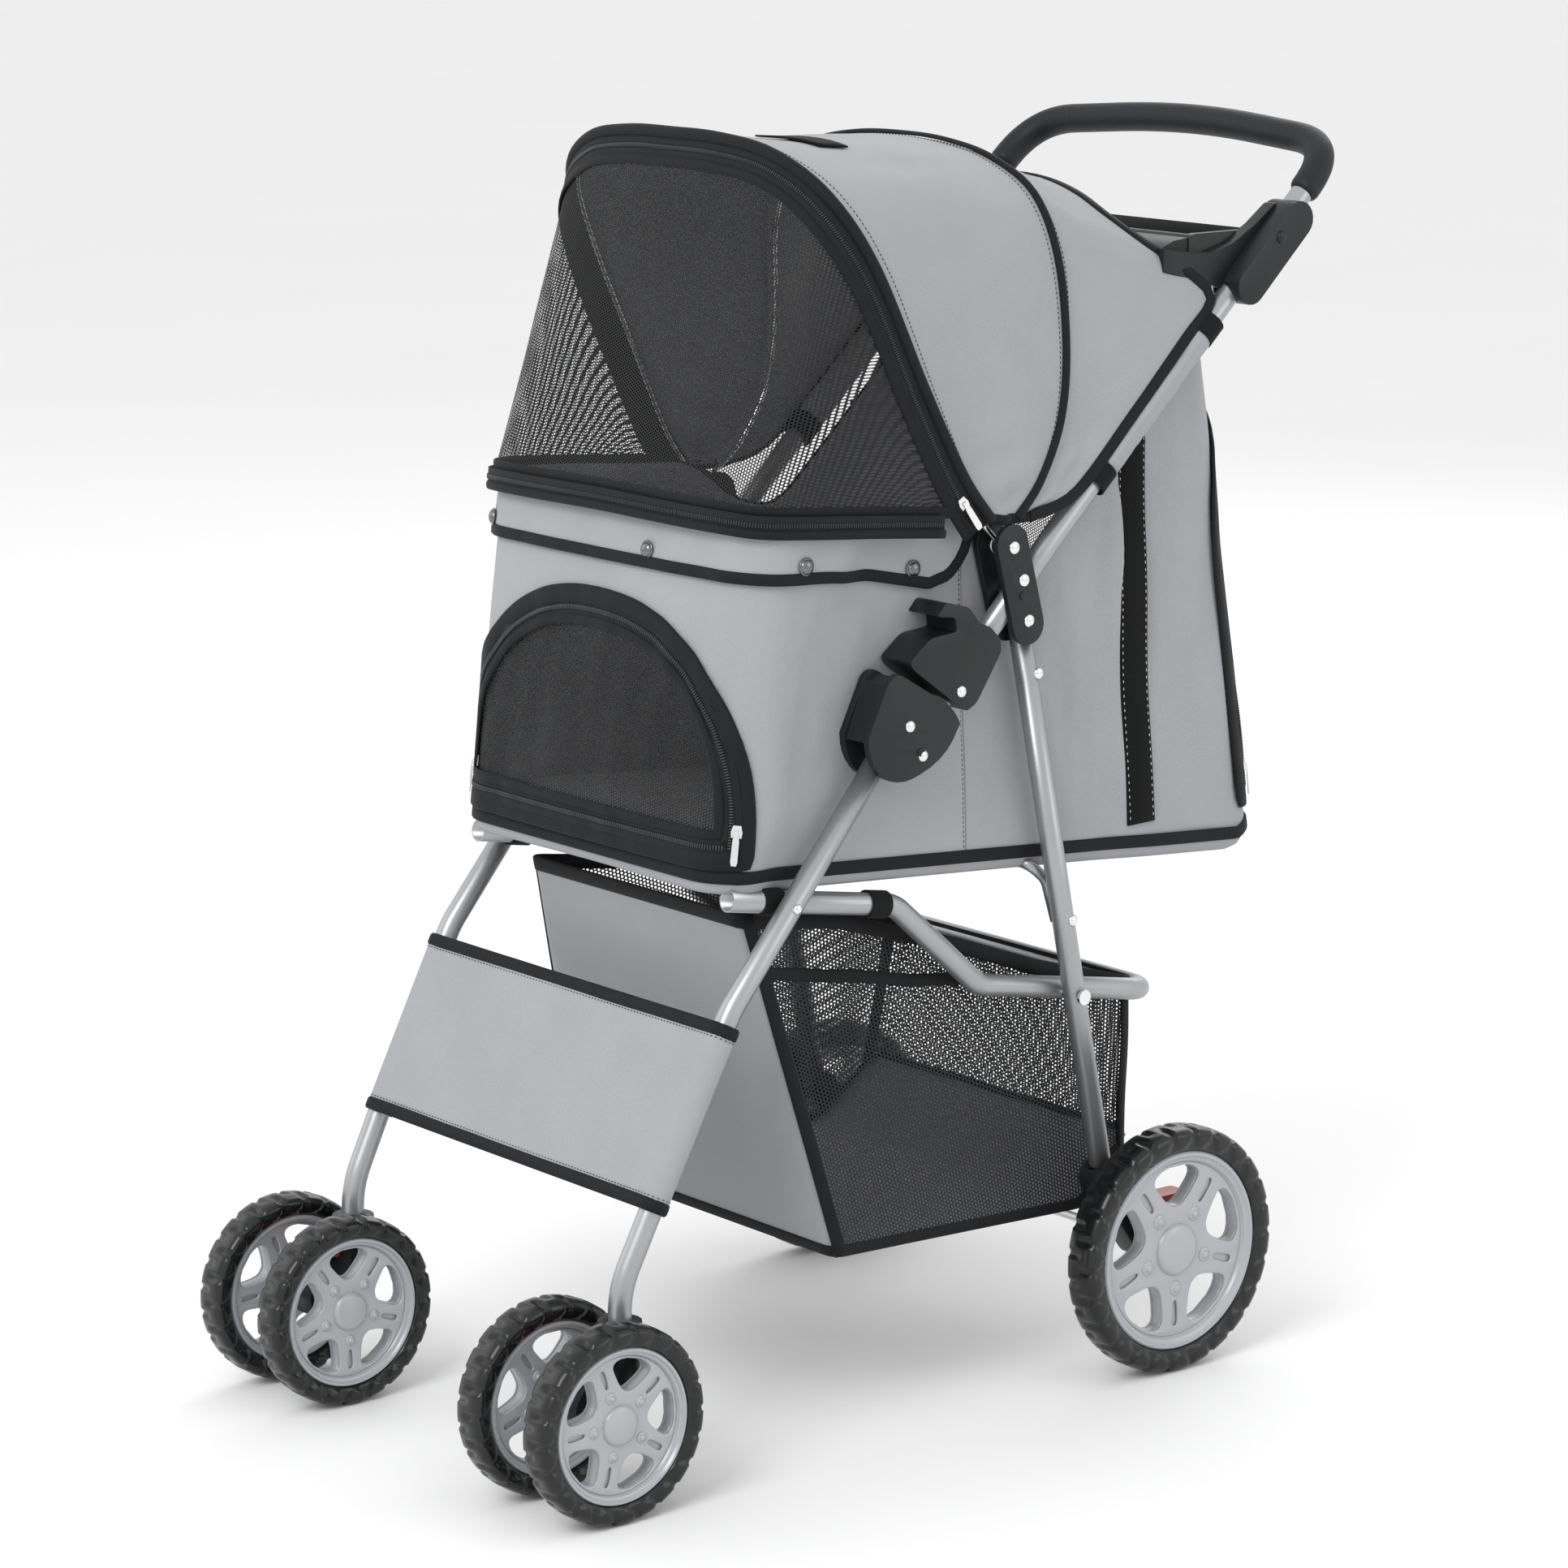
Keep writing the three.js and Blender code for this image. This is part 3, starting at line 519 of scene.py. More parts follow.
def build_ribs(tree, given):
    """Ribs across a tape and its fuzz, from the tape's own UV map in metres."""
    split = put(tree, "ShaderNodeSeparateXYZ", {0: given["Vector"]})
    turns = maths(tree, "DIVIDE", split.outputs[1], given["Pitch"])
    rib = maths(tree, "ABSOLUTE", maths(tree, "SINE", maths(tree, "MULTIPLY", turns, math.pi)))
    fuzz = put(tree, "ShaderNodeTexNoise", {"Vector": given["Vector"], "Scale": 1200.0, "Detail": 3.0})
    height = maths(tree, "ADD", rib, maths(tree, "MULTIPLY", fuzz.outputs["Fac"], given["Fuzz"]))
    return {"Height": height, "Shade": fuzz.outputs["Fac"]}


WEAVE = shader_group("canvas weave", {"Vector": ("Vector", None), "Pitch": ("Float", 0.0009),
                                      "Slub": ("Float", 0.8)}, {"Height": "Float", "Shade": "Float"},
                     build_weave)
NET = shader_group("open net", {"Vector": ("Vector", None), "Pitch": ("Float", 0.0022),
                                "Hole": ("Float", 0.36)}, {"Thread": "Float", "Height": "Float"}, build_net)
WEAR = shader_group("rubbed wear", {"Vector": ("Vector", None), "Scale": ("Float", 20.0),
                                    "Amount": ("Float", 0.5)}, {"Mask": "Float"}, build_wear)
GRAIN = shader_group("moulded grain", {"Vector": ("Vector", None), "Scale": ("Float", 900.0)},
                     {"Height": "Float"}, build_grain)
RIBS = shader_group("ribbed tape", {"Vector": ("Vector", None), "Pitch": ("Float", 0.0014),
                                    "Fuzz": ("Float", 0.6)}, {"Height": "Float", "Shade": "Float"},
                    build_ribs)


SOCKETS = {"metallic": "Metallic", "roughness": "Roughness", "sheen": "Sheen Weight",
           "sheen_roughness": "Sheen Roughness", "coat": "Coat Weight", "coat_roughness": "Coat Roughness",
           "specular": "Specular IOR Level"}


def new_material(name, **sockets):
    """A material with a Principled BSDF whose plain values are set on its own sockets."""
    material = bpy.data.materials.new(name)
    material.use_nodes = True
    tree = material.node_tree
    shader = tree.nodes["Principled BSDF"]
    for key, value in sockets.items():
        shader.inputs[SOCKETS[key]].default_value = value
    return material, tree, shader


def use_group(tree, group, vector, **values):
    made = put(tree, "ShaderNodeGroup", node_tree=group)
    tree.links.new(vector, made.inputs["Vector"])
    for key, value in values.items():
        made.inputs[key].default_value = value
    return made


def two_tone(tree, mask, dark, light):
    blend = put(tree, "ShaderNodeMix", data_type="RGBA")
    tree.links.new(mask, blend.inputs["Factor"])
    blend.inputs["A"].default_value = (*dark, 1)
    blend.inputs["B"].default_value = (*light, 1)
    return blend.outputs["Result"]


def scaled_tone(colour, factor):
    return tuple(min(c * factor, 1.0) for c in colour)


def bump(tree, shader, height, strength, distance):
    made = put(tree, "ShaderNodeBump", {"Height": height, "Strength": strength, "Distance": distance * MM})
    tree.links.new(made.outputs[0], shader.inputs["Normal"])


def canvas(name, colour, from_uv=True, slub=0.8, pitch=0.0009, spread=0.16):
    material, tree, shader = new_material(name, roughness=0.86, sheen=0.12, sheen_roughness=0.5, specular=0.2)
    coords = put(tree, "ShaderNodeTexCoord").outputs["UV" if from_uv else "Object"]
    weave = use_group(tree, WEAVE, coords, Pitch=pitch, Slub=slub)
    tone = two_tone(tree, weave.outputs["Shade"], scaled_tone(colour, 1 - spread),
                    scaled_tone(colour, 1 + spread))
    tree.links.new(tone, shader.inputs["Base Color"])
    bump(tree, shader, weave.outputs["Height"], 0.35, 0.25)
    return material


def net(name, colour, pitch, hole):
    material, tree, shader = new_material(name, roughness=0.6, specular=0.25)
    coords = put(tree, "ShaderNodeTexCoord").outputs["UV"]
    open_net = use_group(tree, NET, coords, Pitch=pitch, Hole=hole)
    weave = use_group(tree, WEAVE, coords, Pitch=pitch, Slub=0.4)
    tone = two_tone(tree, weave.outputs["Shade"], scaled_tone(colour, 0.6), scaled_tone(colour, 1.5))
    tree.links.new(tone, shader.inputs["Base Color"])
    tree.links.new(open_net.outputs["Thread"], shader.inputs["Alpha"])
    bump(tree, shader, open_net.outputs["Height"], 0.4, 0.4)
    return material


def tape(name, colour, pitch=0.0014, fuzz=0.6, roughness=0.7):
    material, tree, shader = new_material(name, roughness=roughness, sheen=0.04, sheen_roughness=0.4,
                                          specular=0.2)
    coords = put(tree, "ShaderNodeTexCoord").outputs["UV"]
    ribs = use_group(tree, RIBS, coords, Pitch=pitch, Fuzz=fuzz)
    tone = two_tone(tree, ribs.outputs["Shade"], scaled_tone(colour, 0.7), scaled_tone(colour, 1.4))
    tree.links.new(tone, shader.inputs["Base Color"])
    bump(tree, shader, ribs.outputs["Height"], 0.45, 0.3)
    return material


def hard(name, colour, worn, roughness, rougher, grain=900.0, depth=0.06, amount=0.4, scale=20.0, **sockets):
    """A moulded, painted or metal surface: grain in the bump, wear in the colour and roughness."""
    material, tree, shader = new_material(name, **sockets)
    coords = put(tree, "ShaderNodeTexCoord").outputs["Object"]
    wear = use_group(tree, WEAR, coords, Scale=scale, Amount=amount)
    tree.links.new(two_tone(tree, wear.outputs["Mask"], colour, worn), shader.inputs["Base Color"])
    span = put(tree, "ShaderNodeMapRange",
               {"Value": wear.outputs["Mask"], "To Min": roughness, "To Max": rougher})
    tree.links.new(span.outputs[0], shader.inputs["Roughness"])
    bump(tree, shader, use_group(tree, GRAIN, coords, Scale=grain).outputs["Height"], 0.3, depth)
    return material


GREY = (0.315, 0.318, 0.330)
MATERIALS = {
    "canvas": canvas("grey canvas", GREY),
    # painted shade: a darker copy of the grey canvas, used for the side seams, stands in for the shade along
    # each seam
    "canvas_painted_shade": canvas("grey canvas painted seam shade", scaled_tone(GREY, 0.8)),
    "pad": canvas("grey pad cloth", scaled_tone(GREY, 0.72), from_uv=False, pitch=0.0011),
    "net": net("black window net", (0.010, 0.0105, 0.0115), 0.0021, 0.335),
    "basket_net": net("black basket net", (0.014, 0.015, 0.0165), 0.0028, 0.32),
    "binding": tape("black binding", (0.0065, 0.007, 0.008)),
    "zip_tape": tape("zip tape", (0.0085, 0.009, 0.010), pitch=0.0008, fuzz=0.4),
    "webbing": tape("black webbing", (0.0055, 0.006, 0.0065), pitch=0.0022, fuzz=1.0, roughness=0.85),
    "hook_tape": tape("hook tape", (0.005, 0.0053, 0.0056), pitch=0.0009, fuzz=1.6, roughness=0.95),
    "silver": hard("silver paint", (0.36, 0.365, 0.375), (0.44, 0.445, 0.45), 0.34, 0.44, grain=2400.0,
                   depth=0.02, amount=0.5, metallic=0.75, specular=0.5),
    "steel": hard("bright rivet steel", (0.80, 0.80, 0.80), (0.62, 0.62, 0.62), 0.16, 0.3, depth=0.01,
                  metallic=1.0),
    "gunmetal": hard("snap cap metal", (0.16, 0.165, 0.17), (0.26, 0.26, 0.27), 0.2, 0.32, depth=0.01,
                     metallic=0.9),
    "plastic": hard("black moulded plastic", (0.0075, 0.0085, 0.0095), (0.016, 0.017, 0.0185), 0.38, 0.5,
                    grain=1500.0, depth=0.05, specular=0.35),
    "tooth": hard("zip coil", (0.016, 0.017, 0.019), (0.035, 0.037, 0.04), 0.3, 0.4, depth=0.01),
    "rim": hard("silver wheel plastic", (0.37, 0.38, 0.395), (0.43, 0.44, 0.455), 0.3, 0.42, grain=1800.0,
                depth=0.02, amount=0.5, metallic=0.15, specular=0.5),
    "tyre": hard("black tyre", (0.0045, 0.005, 0.0055), (0.009, 0.0095, 0.010), 0.24, 0.4, grain=900.0,
                 depth=0.012,
                 amount=0.4, specular=0.4, coat=0.12, coat_roughness=0.25),
    "red": hard("red plastic", (0.36, 0.025, 0.015), (0.45, 0.05, 0.03), 0.3, 0.42),
    "thread": hard("pale stitching", (0.55, 0.55, 0.55), (0.42, 0.42, 0.42), 0.7, 0.8, depth=0.02),
    "dark_thread": hard("black stitching", (0.02, 0.02, 0.022), (0.05, 0.05, 0.055), 0.7, 0.8, depth=0.02),
}


def foam_material():
    """Soft foam that creases across the tube where it bends, with painted shade darker in the creases."""
    material, tree, shader = new_material("black foam", specular=0.25)
    coords = put(tree, "ShaderNodeTexCoord")
    pores = use_group(tree, GRAIN, coords.outputs["Object"], Scale=1400.0)
    long = put(tree, "ShaderNodeMapping", {"Vector": coords.outputs["UV"], "Scale": (18.0, 420.0, 1.0)})
    crease = put(tree, "ShaderNodeTexNoise", {"Vector": long.outputs[0], "Scale": 1.0, "Detail": 3.0})
    height = maths(tree, "ADD", maths(tree, "MULTIPLY", pores.outputs["Height"], 0.4), crease.outputs["Fac"])
    # painted shade: the colour follows the crease height, darker in the crease valleys and lighter on the
    # ridges
    tone = two_tone(tree, crease.outputs["Fac"], (0.007, 0.0078, 0.009), (0.018, 0.0195, 0.022))
    tree.links.new(tone, shader.inputs["Base Color"])
    span = put(tree, "ShaderNodeMapRange", {"Value": crease.outputs["Fac"], "To Min": 0.42, "To Max": 0.62})
    tree.links.new(span.outputs[0], shader.inputs["Roughness"])
    bump(tree, shader, height, 0.5, 0.35)
    return material


MATERIALS["foam"] = foam_material()


# ---- what repeats: stitches, zip coil, rivets and snaps ----
def build_bead_tree():
    """Puts a rounded bead at each point, with its thickness along the point's axis and its length across."""
    tree = bpy.data.node_groups.new("beads", "GeometryNodeTree")
    tree.is_modifier = True
    tree.interface.new_socket("Geometry", in_out="INPUT", socket_type="NodeSocketGeometry")
    for key, kind in (("Segments", "Int"), ("Rings", "Int"), ("Size", "Vector"), ("Finish", "Material")):
        tree.interface.new_socket(key, in_out="INPUT", socket_type="NodeSocket" + kind)
    tree.interface.new_socket("Geometry", in_out="OUTPUT", socket_type="NodeSocketGeometry")
    entry, leave = tree.nodes.new("NodeGroupInput"), tree.nodes.new("NodeGroupOutput")
    bead = put(tree, "GeometryNodeMeshUVSphere", {"Segments": entry.outputs["Segments"],
                                                  "Rings": entry.outputs["Rings"], "Radius": 1.0})
    axis = put(tree, "GeometryNodeInputNamedAttribute", {"Name": "axis"}, data_type="FLOAT_VECTOR")
    across = put(tree, "GeometryNodeInputNamedAttribute", {"Name": "across"}, data_type="FLOAT_VECTOR")
    upright = put(tree, "FunctionNodeAlignRotationToVector", {"Vector": axis.outputs["Attribute"]}, axis="Z")
    turned = put(tree, "FunctionNodeAlignRotationToVector",
                 {"Rotation": upright.outputs[0], "Vector": across.outputs["Attribute"]}, axis="X",
                 pivot_axis="Z")
    spots = put(tree, "GeometryNodeInstanceOnPoints",
                {"Points": entry.outputs["Geometry"], "Instance": bead.outputs["Mesh"],
                 "Rotation": turned.outputs[0], "Scale": entry.outputs["Size"]})
    whole = put(tree, "GeometryNodeRealizeInstances", {0: spots.outputs[0]})
    smooth = put(tree, "GeometryNodeSetShadeSmooth", {0: whole.outputs[0]})
    finish = put(tree, "GeometryNodeSetMaterial",
                 {"Geometry": smooth.outputs[0], "Material": entry.outputs["Finish"]})
    tree.links.new(finish.outputs[0], leave.inputs[0])
    return tree


BEADS = build_bead_tree()


def beads(name, spots, size, material, segments=8, rings=5):
    """One mesh of beads; spots are (point, axis, across) and size is (across, along, thick) in
    millimetres."""
    mesh = bpy.data.meshes.new(name)
    mesh.from_pydata([tuple(point) for point, _, _ in spots], [], [])
    for k, key in ((1, "axis"), (2, "across")):
        layer = mesh.attributes.new(key, "FLOAT_VECTOR", "POINT")
        layer.data.foreach_set("vector", [c for spot in spots for c in spot[k]])
    piece = bpy.data.objects.new(name, mesh)
    bpy.context.scene.collection.objects.link(piece)
    maker = piece.modifiers.new("beads", "NODES")
    maker.node_group = BEADS
    sockets = {item.name: item.identifier for item in BEADS.interface.items_tree if item.in_out == "INPUT"}
    maker[sockets["Segments"]] = segments
    maker[sockets["Rings"]] = rings
    maker[sockets["Size"]] = [s * MM for s in size]
    maker[sockets["Finish"]] = material
    return settle(piece)


def along_path(points, normals, pitch, shift=0.0, lift=0.0, offset=0.0):
    """Evenly spaced spots on a path: (point, outward normal, direction across the path)."""
    spots = []
    run, target = 0.0, shift * MM
    for k in range(len(points) - 1):
        a, b = points[k], points[k + 1]
        step = (b - a).length
        while target < run + step and step > 1e-9:
            t = (target - run) / step
            normal = normals[k].lerp(normals[k + 1], t).normalized()
            side = (b - a).normalized().cross(normal).normalized()
            spots.append((a.lerp(b, t) + normal * lift * MM + side * offset * MM, normal, side))
            target += pitch * MM
        run += step
    return spots


def stitching(name, points, normals, material, pitch=3.4, length=2.3, lift=0.2, offset=0.0):
    spots = [(p, n, n.cross(s)) for p, n, s in along_path(points, normals, pitch, 1.0, lift, offset)]
    return beads(name, spots, (length / 2, 0.36, 0.3), material, segments=6, rings=4)


def zip_run(name, points, normals, width=13.0, lift=0.4, pitch=1.5):
    """Zip tape with its coil standing along the middle."""
    band = sweep(name + "_tape", points, tape_section(width, 0.7, lift), MATERIALS["zip_tape"], normals)
    coil = beads(name + "_coil", along_path(points, normals, pitch, 0.5, lift + 1.0), (2.2, 0.62, 0.8),
                 MATERIALS["tooth"], segments=8, rings=4)
    return [band, coil]


def slider(name, point, normal, along):
    """A zip slider with its pull tab hanging along the zip."""
    side = along.cross(normal).normalized()

    def at(a, b, c):
        return point + (side * a + along * b + normal * c) * MM

    body = [(-3.4, -4), (-3.9, 0), (-2.6, 4.6), (2.6, 4.6), (3.9, 0), (3.4, -4)]
    rows = [[at(a * k, b * k, c) for a, b in body] for c,
            k in ((1.0, 0.9), (1.4, 1.0), (3.8, 1.0), (4.3, 0.85))]
    block = closed_stack(name + "_block", rows, MATERIALS["steel"])
    tab = [(-1.6, 1), (-2.4, -6), (-2.6, -20), (-1.8, -22.5), (1.8, -22.5), (2.6, -20), (2.4, -6), (1.6, 1)]
    rows = [[at(a * k, b, c) for a, b in tab] for c, k in ((4.4, 0.92), (4.8, 1.0), (5.5, 1.0), (5.9, 0.92))]
    pull = closed_stack(name + "_tab", rows, MATERIALS["steel"])
    return joined(name, [block, pull])


def closed_stack(name, rows, material):
    """A closed solid from a stack of outlines with the same number of points."""
    piece = lattice(name, rows, material, wrap_columns=True)
    work = bmesh.new()
    work.from_mesh(piece.data)
    work.verts.ensure_lookup_table()
    n = len(rows[0])
    for ring in (range(n), range((len(rows) - 1) * n, len(rows) * n)):
        work.faces.new([work.verts[i] for i in ring])
    bmesh.ops.recalc_face_normals(work, faces=work.faces)
    work.to_mesh(piece.data)
    work.free()
    piece.data.set_sharp_from_angle(angle=math.radians(35))
    return piece


# ---- silver tubes ----
def body_of(node):
    return frame["nodes"][node]["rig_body"]


def mirrored(points):
    return [Vector((-p.x, p.y, p.z)) for p in points]


def silver_tube(name, corners, bend, node, radius=TUBE_RADIUS, wall=1.2):
    path = bent_path(corners, bend if isinstance(bend, list) else bend * MM,
                     10) if len(corners) > 2 else corners
    tube = pipe(name, path, radius, radius - wall, MATERIALS["silver"])
    return finish_on(tube, body_of(node), "silver_tube", node)


FRONT_LEG = [(160, -40, 500.6), (160, -190, 319), (157.5, -258, 189), (156, -281, 143), (156, -281, 104)]
SEAT_RAIL = [(-178, 389), (-33, 365), (45, 296), (213, 266)]
FLOOR_HOOP = [(114, 333), (104, 364), (88, 377)]
for side_name, side in SIDES.items():
    silver_tube("front_leg_tube_" + side_name, [place(x * side, y, z) for x, y, z in FRONT_LEG], 70,
                "front_leg_" + side_name)
    silver_tube("rear_leg_tube_" + side_name,
                [place(RAIL_X * side, *REAR_LEG_FOOT), place(RAIL_X * side, *LEG_PIVOT)],
                0, "rear_leg_" + side_name)


def bow(rail_x, stops, crown=None):
    """A path that runs up one side, across and down the other."""
    right = [place(rail_x, y, z) for y, z in stops]
    return right + ([place(0, *crown)] if crown else []) + mirrored(right[::-1])


HANDLE_PATH = bow(RAIL_X, [LOCK_PIVOT, HANDLE_BEND, HANDLE_CORNER], HANDLE_BOW)
HANDLE_BENDS = [0.042, 0.046, 1.2, 0.046, 0.042]
silver_tube("handle_bow", HANDLE_PATH, HANDLE_BENDS, "handle_tube")
silver_tube("seat_rail", bow(SEAT_RAIL_X, SEAT_RAIL), 30, "seat_tube")
silver_tube("floor_stay", bow(145.5, FLOOR_HOOP), 18, "floor_hoop", radius=4, wall=0.8)


def rail_point(y):
    """The handle rail's height at y, above its lower bend."""
    return mix(HANDLE_BEND[1], HANDLE_CORNER[1], (y - HANDLE_BEND[0]) / (HANDLE_CORNER[0] - HANDLE_BEND[0]))


def build_grip():
    path = [p for p in resample(bent_path(HANDLE_PATH, HANDLE_BENDS, 12), 600) if p.y > 326 * MM]
    path = resample(path, 170)
    normals = carried_normals(path)
    rows = []
    for k, (point, along, normal) in enumerate(zip(path, tangents(path), normals)):
        end = min(k, len(path) - 1 - k)
        radius = 10.8 - 2.6 * (1 - min(end / 2.0, 1.0)) ** 2
        radius += 0.12 * noise.noise(Vector((k * 0.9, 0, 3)))
        side = along.cross(normal)
        rows.append([point + (side * a + normal * b) * MM for a, b in circle(radius, 28)])
    grip = lattice("grip_foam", rows, MATERIALS["foam"], wrap_columns=True)
    work = bmesh.new()
    work.from_mesh(grip.data)
    work.verts.ensure_lookup_table()
    for first in (0, (len(rows) - 1) * 28):
        work.faces.new([work.verts[first + i] for i in range(28)])
    bmesh.ops.recalc_face_normals(work, faces=work.faces)
    work.to_mesh(grip.data)
    work.free()
    finish_on(grip, "handle", "foam", "foam_grip")


build_grip()

# ---- moulded plastic, from the CAD shapes ----
PLASTIC = {"lock_base": 1.6, "lock_collar": 1.6, "joint_bracket": 1.8, "caster_fork": 1.2,
           "axle_bracket": 1.2}
for side_name in SIDES:
    for node, edge in PLASTIC.items():
        refined(node + "_" + side_name, MATERIALS["plastic"], edge)
    for node in ("swivel_tab", "brake_pedal"):
        refined(node + "_" + side_name, MATERIALS["red"], 0.9)
refined("tray", MATERIALS["plastic"], 1.6)


def tray_trim():
    """The tray's front lip and the webs that run from it to the tube clamps."""
    lip = [(232, 806), (214, 804), (199, 798), (193, 790), (196, 785), (206, 788), (220, 795), (232, 797)]
    rows = [[place(x, y, z) for y, z in lip] for x in [-149, -148, -120, -60, 0, 60, 120, 148, 149]]
    parts = [closed_stack("tray_lip", rows, MATERIALS["plastic"])]
    web = [(196, 800), (215, 797), (240, 795), (262, 801), (284, 813), (302, 826), (318, 826), (322, 806),
           (300, 776),
           (276, 764), (262, 766), (240, 773), (215, 779), (196, 784)]
    for side in SIDES.values():
        rows = [[place(side * x, mix(262, y, k), mix(792, z, k)) for y, z in web]
                for x, k in ((149, 0.97), (150, 1.0), (158.5, 1.0), (159.5, 0.97))]
        parts.append(closed_stack("tray_web", rows, MATERIALS["plastic"]))
    finish_on(joined("tray_trim", parts), "handle", "black_plastic")


tray_trim()
for node in ["rear_axle"] + [n + s for n in ("front_axle_", "seat_pivot_pin_") for s in SIDES]:
    for material_slot in frame["nodes"][node].material_slots:
        material_slot.material = MATERIALS["steel"]
for material_slot in frame["nodes"]["floor_board"].material_slots:
    material_slot.material = MATERIALS["plastic"]


def rivets(name, body, places, radius, height, slot="steel", material="steel"):
    """Domed rivet heads; places are (x, y, z) and face outwards from the middle plane."""
    spots = [(place(x, y, z), Vector((1 if x > 0 else -1, 0, 0)), Vector((0, 1, 0))) for x, y, z in places]
    return finish_on(beads(name, spots, (radius, radius, height), MATERIALS[material], 18, 10), body, slot)


def both_sides(places):
    return [(x * side, y, z) for side in SIDES.values() for x, y, z in places]


rivets("joint_rivets", "handle",
       both_sides([(173.2, *HOOP_PIVOT), (173.2, 56.2, 584.5), (173.2, 61.1, 555.9)]), 4.6, 2.0)
rivets("lock_rivets", "front_frame", both_sides([(175.6, *LOCK_RIVET), (175.6, -36, 474.5)]), 4.2, 2.0)
for side_name, side in SIDES.items():
    rivets("collar_rivet_" + side_name, "lock_collar_" + side_name, [(175.6 * side, -2, 514.5)], 4.2, 2.0)
rivets("rear_leg_rivets", "rear_frame", both_sides([(168, 75, 517), (168, 110, 337), (168, 121, 282)]), 4.2,
       2.2)
rivets("front_leg_rivets", "front_frame", both_sides([(168, -139, 382)]), 3.6, 2.0)
rivets("tray_rivets", "handle", both_sides([(175.2, 294, 804)]), 4.6, 2.2, "black_plastic", "plastic")


# ---- wheels ----
def tyre_profile(rim, outer, width):
    """The tyre's section as (radius, x), from one bead over the tread to the other, and back inside."""
    wall = outer - rim
    half = [(0.0, 0.70), (0.12, 0.88), (0.26, 0.97), (0.38, 1.0), (0.50, 1.0), (0.62, 1.0), (0.74, 0.97),
            (0.84, 0.90), (0.92, 0.78), (0.97, 0.60), (0.99, 0.38), (1.0, 0.14)]
    right = [(rim + wall * r, width / 2 * x) for r, x in half]
    return right + [(r, -x) for r, x in right[::-1]] + [(rim - 0.4, 0.0)]


def tyre(name, centre, rim, outer, width, lugs):
    wall, reach = outer - rim, width / 2

    def shift(turn, radius, x):
        """Leaves D-shaped lugs standing, half a pitch apart on the two shoulders."""
        if radius <= rim + wall * 0.2:
            return 0, 0
        phase = turn * lugs / (2 * math.pi) + (0.5 if x < 0 else 0)
        across = abs(phase % 1 - 0.5)
        depth = min(max((radius - rim - wall * 0.22) / (wall * 0.5), 0.0), 1.0)
        lug = 0.40 * math.sqrt(1 - (1 - depth) ** 2)
        gap = ease(lug - 0.06, lug + 0.05, across)
        tread = ease(0.72, 0.95, (radius - rim) / wall)
        return -2.2 * gap * tread, -math.copysign(1.5 * gap * (1 - tread), x) if abs(x) > 0.5 * reach else 0

    return lathe(name, tyre_profile(rim, outer, width), MATERIALS["tyre"], centre, lugs * 12, shift)


def window_outline(middle, low, high, narrow, wide, count=26):
    """One wheel window, wider at the rim, as (a, b) points in millimetres round the hub."""
    points = []
    for i in range(count):
        turn = 2 * math.pi * i / count
        u = math.copysign(abs(math.cos(turn)) ** 0.62, math.cos(turn))
        v = math.copysign(abs(math.sin(turn)) ** 0.72, math.sin(turn))
        radius = mix(low, high, v / 2 + 0.5)
        angle = middle + u * math.radians(mix(narrow, wide, (v / 2 + 0.5) ** 0.8))
        points.append((radius * math.cos(angle), radius * math.sin(angle)))
    return points


def rim_piece(name, centre, rim, width, turn):
    half = width / 2
    ring = [(1.0, 0.72), (0.985, 0.80), (0.955, 0.80), (0.935, 0.66), (0.905, 0.62), (0.89, 0.46),
            (0.865, 0.36),
            (0.865, -0.36), (0.89, -0.46), (0.905, -0.62), (0.935, -0.66), (0.955, -0.80), (0.985, -0.80),
            (1.0, -0.72)]
    parts = [lathe(name + "_ring", [(rim * r, half * x) for r, x in ring], MATERIALS["rim"], centre, 96)]
    parts[0].data.set_sharp_from_angle(angle=math.radians(40))
    disc = [(rim * 0.885 * math.cos(math.pi * i / 36),
             rim * 0.885 * math.sin(math.pi * i / 36)) for i in range(72)]
    windows, slots = [], []
    for k in range(5):
        middle = turn + math.pi * 2 * k / 5
        windows.append(window_outline(middle, rim * 0.44, rim * 0.855, 12.5, 27))
        slots.append(window_outline(middle + math.pi / 5, rim * 0.53, rim * 0.79, 3.0, 3.2, 16))
    face = half * 0.30
    for label, x, thick, outlines in (("core", 0, face * 2, windows),
                                      ("face_a", face + 1.2, 2.4, windows + slots),
                                      ("face_b", -face - 1.2, 2.4, windows + slots)):
        matrix = side_matrix(centre.x / MM + x, centre.y / MM, centre.z / MM)
        parts.append(plate(name + "_" + label, [disc] + outlines, thick, 1.0, MATERIALS["rim"], matrix))
    cap_edge = half * 0.72
    cap = [(0.0, cap_edge + 0.6), (0.20, cap_edge + 0.2), (0.245, cap_edge - 0.8), (0.26, cap_edge - 2.4),
           (0.27, face),
           (0.27, -face), (0.26, 2.4 - cap_edge), (0.245, 0.8 - cap_edge), (0.20, -cap_edge - 0.2),
           (0.0, -cap_edge - 0.6)]
    parts.append(lathe(name + "_cap", [(rim * r, x) for r, x in cap], MATERIALS["rim"], centre, 48))
    nuts = []
    for k in range(5):
        angle = turn + math.pi / 5 + math.pi * 2 * k / 5
        for way in (1, -1):
            spot = centre + place(way * (face + 2.4), rim * 0.40 * math.cos(angle),
                                  rim * 0.40 * math.sin(angle))
            nuts.append((spot, Vector((way, 0, 0)), Vector((0, 1, 0))))
    parts.append(beads(name + "_nut_seats", nuts, (rim * 0.078, rim * 0.078, 1.5), MATERIALS["rim"], 18, 8))
    parts.append(beads(name + "_nuts", nuts, (rim * 0.052, rim * 0.052, 3.0), MATERIALS["rim"], 6, 8))
    return joined(name, parts)


